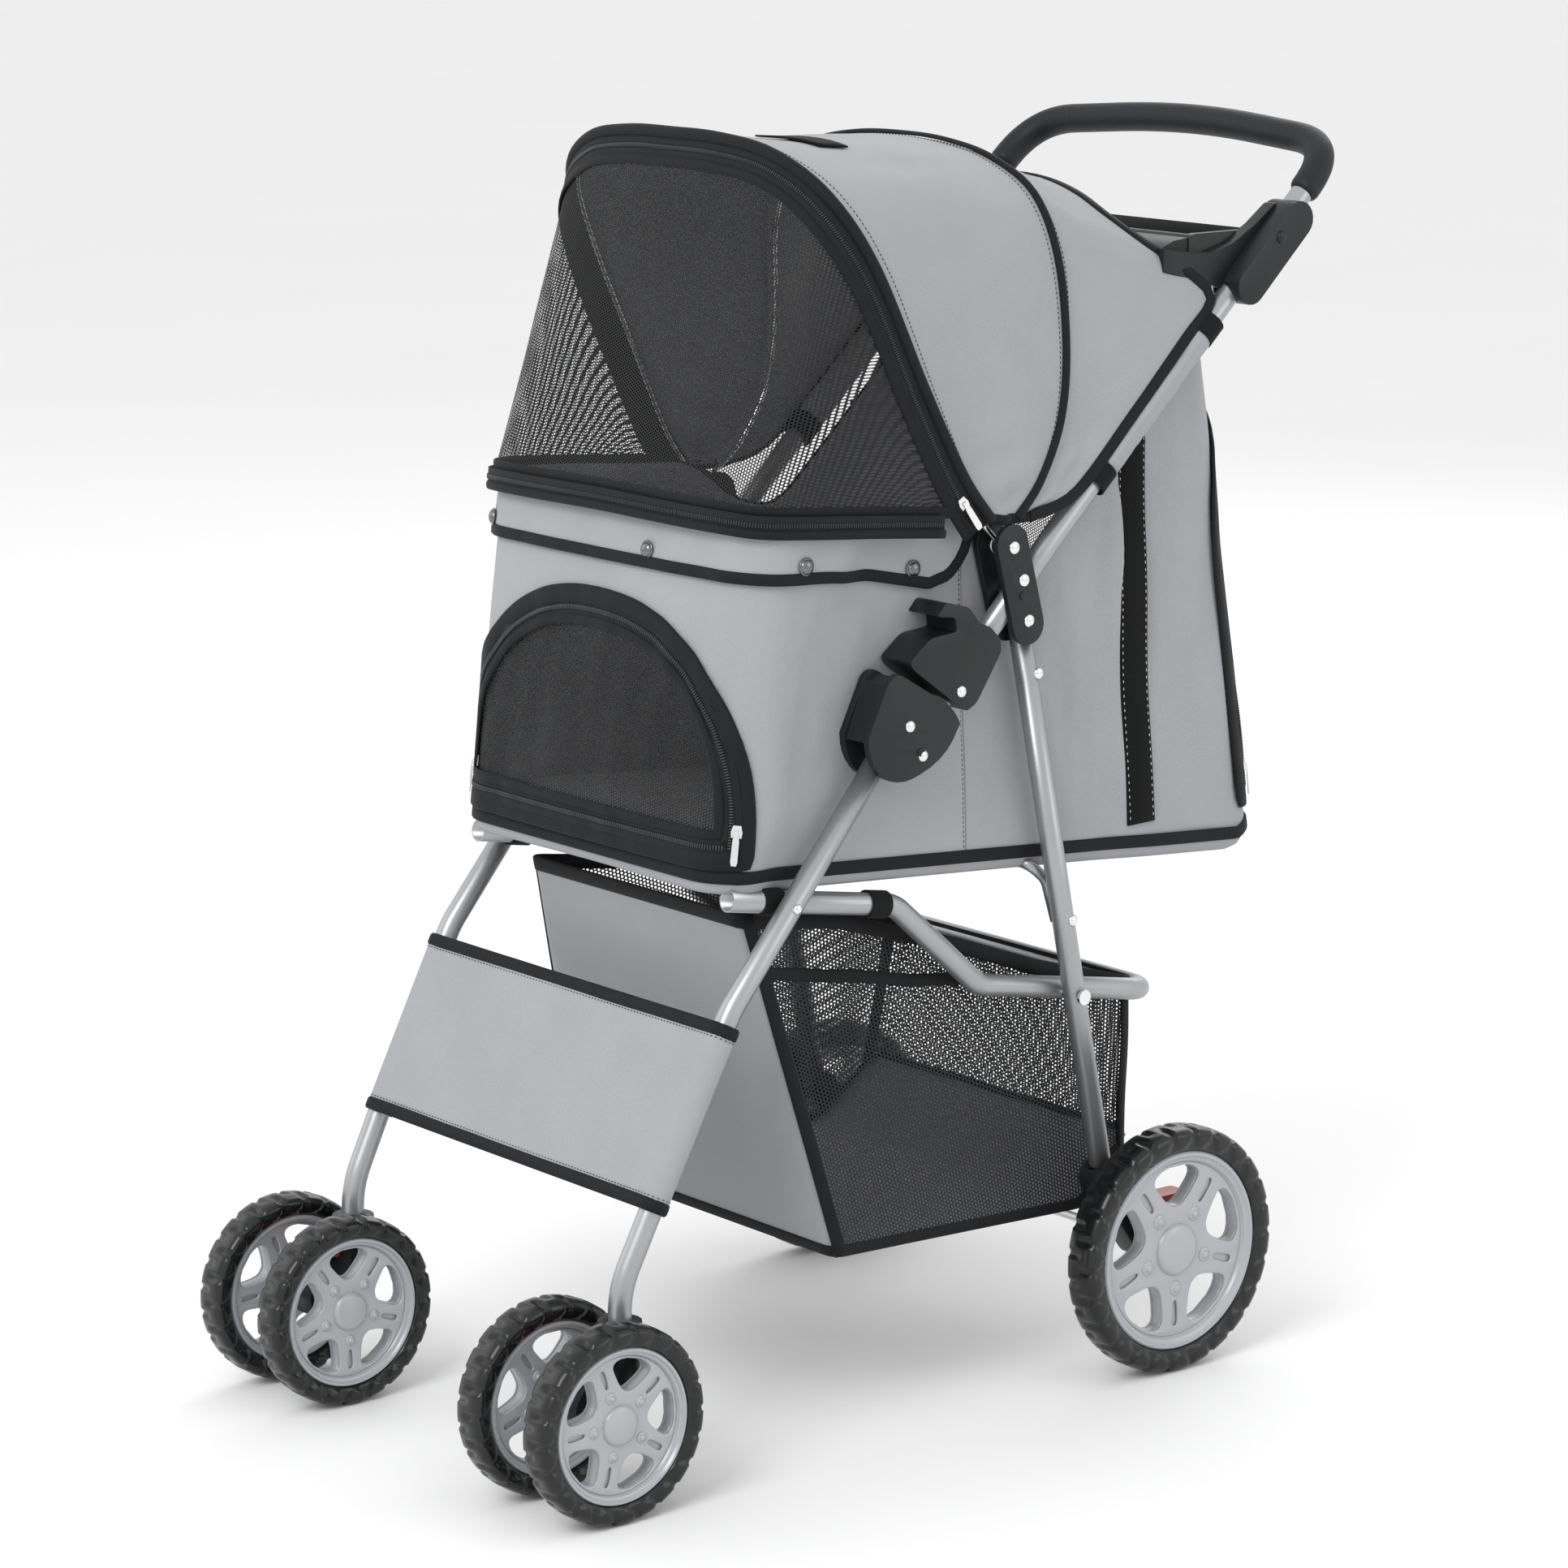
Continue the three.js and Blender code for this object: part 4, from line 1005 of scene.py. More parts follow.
def wheel(label, node, body, x, axle, rim, outer, width, lugs, turn):
    centre = place(x, *axle)
    finish_on(tyre(label + "_tread", centre, rim, outer, width, lugs), body, "tyre", node + "_tyre")
    finish_on(rim_piece(label + "_spokes", centre, rim, width, turn), body, "rim_plastic", node + "_rim")


for side_name, side in SIDES.items():
    for way, name in ((1, "outer"), (-1, "inner")):
        wheel("front_{}_{}".format(side_name, name), "front_{}_{}".format(side_name, name),
              "front_wheel_{}_{}".format(side_name, name), side * (STEM_X + way * 36.6), FRONT_AXLE,
              53.2, 67.5, 26, 22, math.radians(82 - 8 * way))
    wheel("rear_" + side_name, "rear_" + side_name, "rear_wheel_" + side_name, side * 191.7, REAR_AXLE,
          72.5, 90, 28, 26, math.radians(90))


def crumple(piece, body, slot, *nodes, keep=0.25):
    """Cloth on the seat: it rides on its body, with a mesh of its own."""
    finish_on(piece, body, slot, *nodes)
    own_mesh(piece)
    return piece


class Wall:
    """s runs round the wall in millimetres from the front's middle, to the right when positive; v runs
    from foot to rim."""

    def __init__(self, half, depth, front_corner, rear_corner, side_view, width_at, puff):
        self.side_view, self.width_at, self.puff = side_view, width_at, puff
        ca, cf, ra, rf = front_corner / half, front_corner / depth, rear_corner / half, rear_corner / depth
        quarter = [math.pi / 2 * k / 8 for k in range(9)]
        plan = [(0, 0)] + [(1 - ca + ca * math.sin(t), cf - cf * math.cos(t)) for t in quarter]
        plan += [(1 - ra + ra * math.cos(t), 1 - rf + rf * math.sin(t)) for t in quarter] + [(0, 1)]
        run = [0.0]
        for (a0, f0), (a1, f1) in zip(plan, plan[1:]):
            run.append(run[-1] + math.hypot((a1 - a0) * half, (f1 - f0) * depth))
        self.plan, self.run, self.front_share, self.rear_share = plan, run, cf, rf
        self.length, self.side_start, self.side_end = run[-1], run[9], run[10]

    def plan_at(self, s):
        side, s = (1, s) if s >= 0 else (-1, -s)
        if s > self.length:
            side, s = -side, 2 * self.length - s
        for k in range(len(self.run) - 1):
            if s <= self.run[k + 1] or k == len(self.run) - 2:
                t = (s - self.run[k]) / max(self.run[k + 1] - self.run[k], 1e-9)
                (a0, f0), (a1, f1) = self.plan[k], self.plan[k + 1]
                return side * mix(a0, a1, t), mix(f0, f1, t)

    def flat_at(self, s, v):
        a, f = self.plan_at(s)
        y, z = self.side_view(f, v)
        return place(a * self.width_at(y, z), y, z)

    def normal(self, s, v):
        low, high = max(v - 0.02, 0), min(v + 0.02, 1)
        across = self.flat_at(s + 3, v) - self.flat_at(s - 3, v)
        return across.cross(self.flat_at(s, high) - self.flat_at(s, low)).normalized()

    def at(self, s, v, lift=0.0):
        return self.flat_at(s, v) + self.normal(s, v) * (self.puff(s, v, *self.plan_at(s)) + lift) * MM

    def v_for(self, s, z):
        f = self.plan_at(s)[1]
        foot, rim = self.side_view(f, 0)[1], self.side_view(f, 1)[1]
        return min(max((z - foot) / (rim - foot), 0.0), 1.0)

    def spot_for(self, y, z, side=1):
        """The (s, v) of a place in the side view."""
        f, v = 0.5, 0.5
        for _ in range(12):
            front_y, rear_y = self.side_view(0, v)[0], self.side_view(1, v)[0]
            f = min(max((y - front_y) / (rear_y - front_y), 0.0), 1.0)
            foot, rim = self.side_view(f, 0)[1], self.side_view(f, 1)[1]
            v = min(max((z - foot) / (rim - foot), 0.0), 1.0)
        share = (f - self.front_share) / (1 - self.front_share - self.rear_share)
        return side * mix(self.side_start, self.side_end, share), v

    def line(self, spots, count, lift=0.0, closed=False):
        """Points and outward normals along a list of (s, v) spots."""
        if closed:
            first = spots[0][0] + (2 * self.length if spots[-1][0] - spots[0][0] > self.length else 0)
            spots = spots + [(first, spots[0][1])]
        flat = resample([Vector((s, v * 250, 0)) for s, v in spots], count + closed)
        flat = flat[:-1] if closed else flat
        return ([self.at(p.x, p.y / 250, lift) for p in flat], [self.normal(p.x, p.y / 250) for p in flat])

    def ribbon(self, name, spots, width, thickness, material, count=60, lift=0.0, closed=False):
        points, normals = self.line(spots, count, 0.0, closed)
        return sweep(name, points, tape_section(width, thickness, lift), material, normals, closed)

    def sheet(self, name, material, s_stops, v_range, keep=None, lift=0.0, closed=False):
        """A piece of the wall; v_range gives the foot and rim of each column."""
        columns = [v_range(s) for s in s_stops]
        rows, flat = [], []
        count = 36
        for i in range(count + 1):
            row = [mix(low, high, i / count) for low, high in columns]
            rows.append([self.at(s, v, lift) for s, v in zip(s_stops, row)])
            flat.append([(s * MM, self.flat_at(s, v).z) for s, v in zip(s_stops, row)])
        test = (lambda i, j: keep(s_stops[j] + 3.5, rows[i][j].z / MM + 3)) if keep else None
        return lattice(name, rows, material, wrap_columns=closed, keep=test, flat=flat)


def spaced(low, high, step):
    count = max(round((high - low) / step), 1)
    return [mix(low, high, k / count) for k in range(count + 1)]


# ---- the cabin ----
CABIN_FOOT = [(-180, 405), (290, 372), (312, 379)]
CABIN_RIM = [(-157, 646), (15, 635), (56, 602), (96, 594), (238, 727), (256, 738)]
LEG_LINE = [(319, -190), (440, -92), (500, -88), (580, -60), (650, -20)]


def cabin_side(f, v):
    foot_y, rim_y = mix(-190, 312, f), mix(-157, 256, f)
    rim_z = sum(through(CABIN_RIM, rim_y + d) for d in (-14, -7, 0, 7, 14)) / 5
    return mix(foot_y, rim_y, v), mix(through(CABIN_FOOT, foot_y), rim_z, v)


def cabin_width(y, z):
    """Wider ahead of the front legs, where nothing holds the cloth in."""
    return 144 + 10 * ease(14, 60, through(LEG_LINE, z) - y) + 3 * ease(150, 220, y)


def cabin_puff(s, v, a, f):
    held = math.sin(math.pi * min(max(v, 0), 1)) ** 0.6
    front = 12.0 * (1 - ease(0.0, 0.07, f)) * (1 - a * a)
    rear = ease(0.42, 0.62, f)
    folds = noise.noise(Vector((s * 0.026 + v * 1.1, v * 1.3, 2.0))) * (2.6 + 4.4 * rear)
    folds *= 1 - 0.7 * ease(0.9, 0.97, f)
    small = noise.noise(Vector((s * 0.060 - v * 1.6, v * 2.6, 9.0))) * (1.5 + 1.8 * rear)
    slack = -4.0 * rear * math.exp(-((f - 0.86) / 0.06) ** 2)
    return held * (front + folds + small + slack)


CABIN = Wall(144, 480, 34, 26, cabin_side, cabin_width, cabin_puff)


class Door:
    """A zipped door in a wall: an arch with a straight foot, in (s, z) millimetres about its middle."""

    def __init__(self, wall, middle, half, foot, height, power):
        self.wall, self.middle = wall, middle
        self.half, self.foot, self.height = half, foot, height
        self.power = power

    def width_at(self, z, inset=0.0):
        share = (z - self.foot - inset) / (self.height - 2 * inset)
        if not 0 <= share <= 1:
            return 0.0
        return (self.half - inset) * (1 - share ** self.power) ** (1 / self.power)

    def inside(self, s, z, inset):
        away = abs(s - self.middle) if self.middle == 0 else self.wall.length - abs(s)
        return away < self.width_at(z, inset)

    def spots(self, inset):
        points = []
        for k in range(49):
            turn = math.pi * k / 48
            across = math.copysign(abs(math.cos(turn)) ** (2 / self.power), math.cos(turn))
            rise = math.sin(turn) ** (2 / self.power)
            points.append((across * (self.half - inset),
                           self.foot + inset + rise * (self.height - 2 * inset)))
        across = self.half - inset
        points += [(-across * (1 - k / 8), self.foot + inset) for k in range(1, 16)]
        return [(self.middle + a, self.wall.v_for(self.middle + a, z)) for a, z in points]

    def net(self, name, material, inset):
        rows, flat = [], []
        count = 40
        for i in range(count + 1):
            z = mix(self.foot + inset, self.foot + self.height - inset - 0.2, i / count)
            width = max(self.width_at(z, inset), 0.6)
            stops = [self.middle + width * (k / 22 - 1) for k in range(45)]
            rows.append([self.wall.at(s, self.wall.v_for(s, z), -0.8) for s in stops])
            flat.append([((s - self.middle) * MM, z * MM) for s in stops])
        return lattice(name, rows, material, flat=flat)


FRONT_DOOR = Door(CABIN, 0, 150, 412, 166, 2.3)
REAR_DOOR = Door(CABIN, CABIN.length, 152, 392, 318, 5.0)


DOOR_CUT = 5  # how far inside a door's outline the cabin's cloth is cut away


def build_cabin():
    stops = spaced(-CABIN.length, CABIN.length, 6)[:-1]

    def clear_of_doors(s, z):
        return not (FRONT_DOOR.inside(s, z, DOOR_CUT) or REAR_DOOR.inside(s, z, DOOR_CUT))

    shell = CABIN.sheet("cabin_cloth", MATERIALS["canvas"], stops, lambda s: (0, 1), closed=True,
                        keep=clear_of_doors)
    thicken(shell, 1.2, offset=-1)
    crumple(shell, "seat", "grey_cloth", "cabin_shell")
    pan = []
    for inset, drop in ((0, 0), (1.5, 5), (3, 10), (8, 12.5), (40, 13), (90, 13)):
        row = []
        for s in stops:
            p = CABIN.at(s, 0)
            depth_share = CABIN.plan_at(s)[1]
            middle = place(0, mix(-95, 220, depth_share), p.z / MM)
            inward = (middle - p).normalized() if (middle - p).length > 1e-6 else Vector((0, 0, 0))
            row.append(p + inward * min(inset * MM, (middle - p).length) - Vector((0, 0, drop * MM)))
        pan.append(row)
    bottom = lattice("cabin_bottom", pan[::-1], MATERIALS["canvas"], wrap_columns=True)
    thicken(bottom, 1.0)
    crumple(bottom, "seat", "grey_cloth")
    ring = [(s, 0.0) for s in stops]
    trims = [CABIN.ribbon("foot_binding", ring, 9, 1.6, MATERIALS["binding"], 300, 0.2, closed=True),
             CABIN.ribbon("rim_binding", [(s, 0.99) for s in stops], 8, 1.4, MATERIALS["binding"], 300, 0.2,
                          closed=True)]
    threads = []
    for side in (1, -1):
        seam = [CABIN.spot_for(y, z, side) for y, z in ((24, 606), (27, 500), (31, 394))]
        points, normals = CABIN.line(seam, 60)
        # the seam tape uses the darker canvas, which is painted shade along the seam
        threads.append(sweep("side_seam", points, tape_section(1.2, 0.5, 0.0), MATERIALS["canvas_painted_shade"],
                             normals))
        threads.append(stitching("side_seam_stitches", points, normals, MATERIALS["dark_thread"], offset=2.2))
        strip = [CABIN.spot_for(y, z, side) for y, z in ((180, 668), (187, 530), (194, 392))]
        trims.append(CABIN.ribbon("side_strip", strip, 25, 1.5, MATERIALS["hook_tape"], 60, 0.3))
        points, normals = CABIN.line(strip, 60)
        for offset in (-10.5, 10.5):
            threads.append(stitching("strip_stitches", points, normals, MATERIALS["thread"], 5.2, 2.6, 1.9,
                                     offset))
    crumple(joined("cabin_binding", trims), "seat", "black_binding")
    crumple(joined("cabin_stitching", threads), "seat", "black_binding")


def build_door(label, door, body, pull_spots):
    """The net leaf with its bound edge and zip, and the bound opening that stays on the cabin."""
    count = 260
    opening = CABIN.ribbon(label + "_opening", door.spots(4), 14, 2.4, MATERIALS["binding"], count, 0.6,
                           closed=True)
    crumple(opening, "seat", "black_binding")
    edge = CABIN.ribbon(label + "_edge", door.spots(21), 7, 1.8, MATERIALS["binding"], count, 0.8,
                        closed=True)
    points, normals = CABIN.line(door.spots(13), count, 0.0, closed=True)
    band = sweep(label + "_tape", points, tape_section(14, 0.8, 1.3), MATERIALS["zip_tape"], normals,
                 closed=True)
    coil = beads(label + "_coil", along_path(points, normals, 1.9, 0, 2.6), (2.4, 0.8, 0.9),
                 MATERIALS["tooth"], 8, 4)
    pulls = []
    for k, (s, z) in enumerate(pull_spots):
        v = CABIN.v_for(s, z)
        normal = CABIN.normal(s, v)
        up = (CABIN.at(s, v + 0.02) - CABIN.at(s, v)).normalized()
        pulls.append(slider(label + "_slider_" + str(k), CABIN.at(s, v), normal, up))
    crumple(joined(label + "_zip", [edge, band, coil] + pulls), body, "black_binding")
    leaf = door.net(label + "_net", MATERIALS["net"], 19)
    crumple(leaf, body, "black_mesh", label)
    return leaf


def build_flap():
    """The flap that snaps down over the cabin's front edge."""
    hem = [(-170, 604), (-100, 601), (-60, 597), (-8, 586), (10, 590), (22, 602), (30, 622), (34, 640)]

    def column(s):
        y = CABIN.flat_at(s, CABIN.v_for(s, 606)).y / MM
        return min(CABIN.v_for(s, through(hem, y)), 0.985), CABIN.v_for(s, 638)

    end = CABIN.spot_for(33, 620)[0]
    stops = spaced(-end, end, 6)
    flap = CABIN.sheet("front_flap_cloth", MATERIALS["canvas"], stops, column, lift=3.2)
    thicken(flap, 1.2)
    crumple(flap, "seat", "grey_cloth", "front_flap")
    edge = [(s, column(s)[0]) for s in stops]
    points, normals = CABIN.line(edge, 220, 3.4)
    hem_band = sweep("flap_hem", points, tape_section(8, 1.6, 0.2), MATERIALS["binding"], normals)
    crumple(hem_band, "seat", "black_binding")
    caps = []
    for s in (-286, -172, -130, 46, 172, 286):
        v = column(s)[0] + 0.034
        caps.append((CABIN.at(s, v, 5.0), CABIN.normal(s, v), Vector((0, 0, 1))))
    dome = beads("snap_domes", caps, (5.4, 5.4, 3.4), MATERIALS["gunmetal"], 20, 12)
    brim = beads("snap_brims", caps, (6.4, 6.4, 1.3), MATERIALS["gunmetal"], 20, 8)
    crumple(joined("flap_snaps", [dome, brim]), "seat", "steel")


build_cabin()
front_leaf = build_door("front_door", FRONT_DOOR, "front_door", [(-139, 438), (140, 436)])
rear_leaf = build_door("rear_door", REAR_DOOR, "rear_door",
                       [(CABIN.length - 138, 420), (138 - CABIN.length, 420)])
build_flap()


# ---- the canopy ----
def arch(half_points, count):
    """A whole arch, from its left foot over the top to its right foot."""
    right = [place(*p) for p in half_points]
    return smooth_curve(mirrored(right[:-1]) + right[::-1], count)


ARCH_COUNT = 97
WINDOW_SILL = [(164, 16, 634), (161, -60, 641), (159, -122, 646), (148, -153, 648), (122, -166, 650),
               (70, -170, 651),
               (0, -171, 652)]
FRONT_ARCH = [(168, 30, 628), (166, 6, 660), (162, -26, 722), (158, -66, 805), (140, -92, 852),
              (100, -105, 877),
              (50, -110, 885), (0, -111, 886)]
MIDDLE_ARCH = [(169, 52, 627), (166, 76, 650), (163, 97, 690), (161, 103, 740), (156, 99, 800),
               (136, 95, 842),
               (95, 92, 864), (48, 91, 873), (0, 91, 875)]
REAR_ARCH = [(169, 64, 627), (168, 108, 639), (167, 160, 686), (166, 212, 736), (163, 240, 763),
             (158, 218, 785),
             (146, 192, 803), (122, 178, 821), (90, 178, 835), (45, 187, 842), (0, 190, 843)]
front_arch, middle_arch, rear_arch = (arch(a, ARCH_COUNT) for a in (FRONT_ARCH, MIDDLE_ARCH, REAR_ARCH))
window_sill = arch(WINDOW_SILL, ARCH_COUNT)


def over_hoops(piece, slot, *nodes):
    """Canopy pieces: hides the CAD nodes they stand for and bakes the piece's transform into its mesh."""
    if nodes:
        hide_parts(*nodes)
    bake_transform(piece)
    return piece


def canopy_at(j, t):
    """The cloth between the hoops: t is 0 at the front arch, 1 at the middle one and 2 at the rear."""
    a, b = (front_arch, middle_arch) if t <= 1 else (middle_arch, rear_arch)
    k = t if t <= 1 else t - 1
    share = j / (ARCH_COUNT - 1)
    point = a[j].lerp(b[j], k)
    slack = math.sin(math.pi * k) * (math.sin(math.pi * share) ** 0.5)
    inward = (Vector((0, point.y, 0.66)) - point).normalized()
    creases = noise.noise(Vector((share * 13, t * 3.2, 4.0))) * 3.0 + noise.noise(Vector((share * 34, t * 2,
                                                                                          7))) * 1.2
    near_foot = ease(0.16, 0.0, min(share, 1 - share))
    creases += near_foot * 2.2 * math.sin(share * 140 + t * 5) * math.sin(math.pi * k)
    return point + inward * (3.2 * slack + creases * math.sin(math.pi * k)) * MM


def canopy_line(t, low=0, high=ARCH_COUNT):
    points = [canopy_at(j, t) for j in range(low, high)]
    normals = []
    for j in range(low, high):
        across = canopy_at(min(j + 1, ARCH_COUNT - 1), t) - canopy_at(max(j - 1, 0), t)
        back = canopy_at(j, min(t + 0.05, 2)) - canopy_at(j, max(t - 0.05, 0))
        normals.append(across.cross(back).normalized())
    return points, normals


def build_canopy():
    stops = [k / 16 for k in range(17)] + [1 + k / 10 for k in range(1, 11)]
    rows = [[canopy_at(j, t) for j in range(ARCH_COUNT)] for t in stops]
    cloth = lattice("canopy_cloth", rows, MATERIALS["canvas"])
    thicken(cloth, 1.2, offset=-1, rounds=1)
    over_hoops(cloth, "grey_cloth", "canopy_front_panel", "canopy_rear_panel")
    trims = []
    for t, width, thick in ((1.0, 6, 3.0), (1.985, 8, 1.8)):
        points, normals = canopy_line(t)
        trims.append(sweep("canopy_trim", points, tape_section(width, thick, 0.0), MATERIALS["binding"],
                           normals))
    for j in (0, ARCH_COUNT - 1):
        points = [canopy_at(j, t) for t in stops]
        outwards = [Vector((1 if j else -1, 0, 0))] * len(points)
        trims.append(sweep("canopy_foot_trim", points, tape_section(7, 1.8, -0.6), MATERIALS["binding"],
                           outwards))
    trims.append(sweep("front_piping", front_arch, circle(4.2, 16), MATERIALS["binding"]))
    over_hoops(joined("canopy_binding", trims), "black_binding")
    points, normals = canopy_line(0.07)
    seams = [stitching("front_seam", points, normals, MATERIALS["dark_thread"])]
    for t in (0.965, 1.04):
        points, normals = canopy_line(t)
        seams.append(stitching("hoop_seam", points, normals, MATERIALS["dark_thread"]))
    over_hoops(joined("canopy_stitching", seams), "black_binding")
    rows = []
    for k in range(7):
        t = mix(0.32, 0.45, k / 6)
        line, normals = canopy_line(t, 49, 58)
        rows.append([p + n * 1.8 * MM for p, n in zip(line, normals)])
    tab = lattice("canopy_tab", rows, MATERIALS["hook_tape"])
    thicken(tab, 1.4)
    over_hoops(tab, "black_binding")


def window_line(depth):
    """Points and outward normals this far down from the front arch, in the window."""
    points, normals = [], []
    for p, s, along in zip(front_arch, window_sill, tangents(front_arch)):
        down = s - p
        down = (down - along * down.dot(along)).normalized()
        points.append(p + down * depth * MM)
        normals.append(down.cross(along).normalized())
    return points, normals


def build_window():
    top, _ = window_line(17)
    rows = []
    count = 26
    for i in range(count + 1):
        k = i / count
        row = []
        for p, s in zip(top, window_sill):
            point = p.lerp(s, k)
            slack = noise.noise(Vector((point.x * 9, point.z * 9, 1.0))) * 3.0 * math.sin(math.pi * k)
            row.append(point + Vector((0, slack * MM, 0)))
        rows.append(row)
    flat = [[(p.x + 0.35 * (p.y - row[len(row) // 2].y) * (1 if p.x > 0 else -1),
              p.z) for p in row] for row in rows]
    leaf = lattice("window_net", rows[::-1], MATERIALS["net"], flat=flat[::-1])
    over_hoops(leaf, "black_mesh", "window_mesh")
    points, normals = window_line(10.5)
    parts = zip_run("window_zip", points, normals, 13, 0.6, 1.7)
    points, normals = window_line(20)
    parts.append(sweep("window_edge", points, tape_section(7, 1.6, 0.3), MATERIALS["binding"], normals))
    outwards = [Vector((p.x, p.y - 0.02, 0)).normalized() for p in window_sill]
    parts.append(sweep("window_foot", window_sill, tape_section(8, 1.5, 0.4), MATERIALS["binding"], outwards))
    for j, turn in ((ARCH_COUNT - 4, 1), (3, -1)):
        points, normals = window_line(10.5)
        along = (points[j + 1] - points[j - 1]).normalized() * -turn
        parts.append(slider("window_slider", points[j], normals[j], along))
    over_hoops(joined("window_zip", parts), "black_binding")
    outwards = outwards[4:-4]
    lower = [p + place(0, 0, -8) + n * 4.5 * MM for p, n in zip(window_sill[4:-4], outwards)]
    parts = zip_run("sill_zip", lower, outwards, 13, 0.4, 1.9)
    binding = [p + place(0, 0, -6) for p in lower]
    parts.append(sweep("sill_binding", binding, tape_section(6, 2.0, 0.6), MATERIALS["binding"], outwards))
    crumple(joined("sill_zip", parts), "seat", "black_binding")


def build_hoops():
    wires = []
    for half, x in ((FRONT_ARCH, 159.3), (MIDDLE_ARCH, 154.6)):
        inset = [(max(px - 7, 0) if px > 20 else px, y, z - 5) for px, y, z in half]
        path = [Vector((-x, HOOP_PIVOT[0], HOOP_PIVOT[1])) * MM] + arch(inset,
                                                                        ARCH_COUNT) + [place(x, *HOOP_PIVOT)]
        path = smooth_curve(path, 160)
        wires.append(sweep("hoop_wire", path, circle(2, 10), MATERIALS["steel"]))
        eye = [(4.2, -1.2), (4.6, -1.6), (6.0, -1.6), (6.4, -1.2), (6.4, 1.2), (6.0, 1.6), (4.6, 1.6),
               (4.2, 1.2)]
        for side in (1, -1):
            wires.append(lathe("hoop_eye", eye, MATERIALS["steel"], place(side * x, *HOOP_PIVOT), 24))
    over_hoops(joined("canopy_hoops", wires), "steel", "hoop_front", "hoop_middle")


build_hoops()
build_canopy()
build_window()


# ---- the basket ----
def basket_side(f, v):
    foot = (mix(-87, 140, f / 0.82), mix(125, 119, f / 0.82)) if f < 0.82 else \
        (mix(140, 191, (f - 0.82) / 0.18), mix(119, 162, (f - 0.82) / 0.18))
    rim_y = mix(-150, 207, f)
    rim_z = through([(-150, 370), (-66, 358), (37, 326), (113, 298), (207, 270)], rim_y)
    return mix(foot[0], rim_y, v), mix(foot[1], rim_z, v)


def basket_width(y, z):
    return 146 - 0.11 * (z - 116)


def basket_puff(s, v, a, f):
    held = math.sin(math.pi * min(max(v, 0), 1))
    return held * (1.5 * noise.noise(Vector((s * 0.02, v * 2, 12))) - 2.5 * (1 if 0.05 < f < 0.95 else 0))


BASKET = Wall(138, 290, 9, 12, basket_side, basket_width, basket_puff)


def build_basket():
    front_end = BASKET.side_start - 3
    front = BASKET.sheet("basket_front", MATERIALS["canvas"], spaced(-front_end, front_end, 8),
                         lambda s: (0, 1))
    thicken(front, 1.2, offset=-1)
    around = spaced(front_end, 2 * BASKET.length - front_end, 8)
    sides = BASKET.sheet("basket_sides", MATERIALS["basket_net"], around, lambda s: (0, 1))
    crumple(front, "seat", "grey_cloth")
    crumple(sides, "seat", "black_mesh", "basket")
    rows = []
    for i in range(25):
        f = mix(0.004, 0.996, i / 24)
        y, z = basket_side(f, 0)
        sag = 7 * math.sin(math.pi * f)
        width = basket_width(y, z) - 1.5
        rows.append([place(width * (k / 12 - 1), y,
                           z - sag * (1 - (k / 12 - 1) ** 2) + 1) for k in range(25)])
    floor = lattice("basket_floor", rows, MATERIALS["canvas"])
    thicken(floor, 1.5)
    crumple(floor, "seat", "grey_cloth", "basket_liner")
    trims = [BASKET.ribbon("basket_rim", [(s, 0.985) for s in spaced(-BASKET.length, BASKET.length, 9)[:-1]],
                           11, 2.0,
                           MATERIALS["binding"], 260, -0.4, closed=True),
             BASKET.ribbon("basket_foot", [(s, 0.012) for s in spaced(-BASKET.length, BASKET.length, 9)[:-1]],
                           8, 1.6,
                           MATERIALS["binding"], 260, 0.0, closed=True)]
    for side in (1, -1):
        for s in (front_end, BASKET.side_end + 4):
            trims.append(BASKET.ribbon("basket_post", [(side * s, 0.0), (side * s, 1.0)], 9, 1.8,
                                       MATERIALS["binding"], 30))
        band = [BASKET.spot_for(y, z, side) for y,
                z in ((-136, 329), (-66, 316), (0, 303), (114, 284), (200, 266))]
        trims.append(BASKET.ribbon("basket_band", band, 9, 1.6, MATERIALS["binding"], 40))
    crumple(joined("basket_binding", trims), "seat", "black_binding")


build_basket()


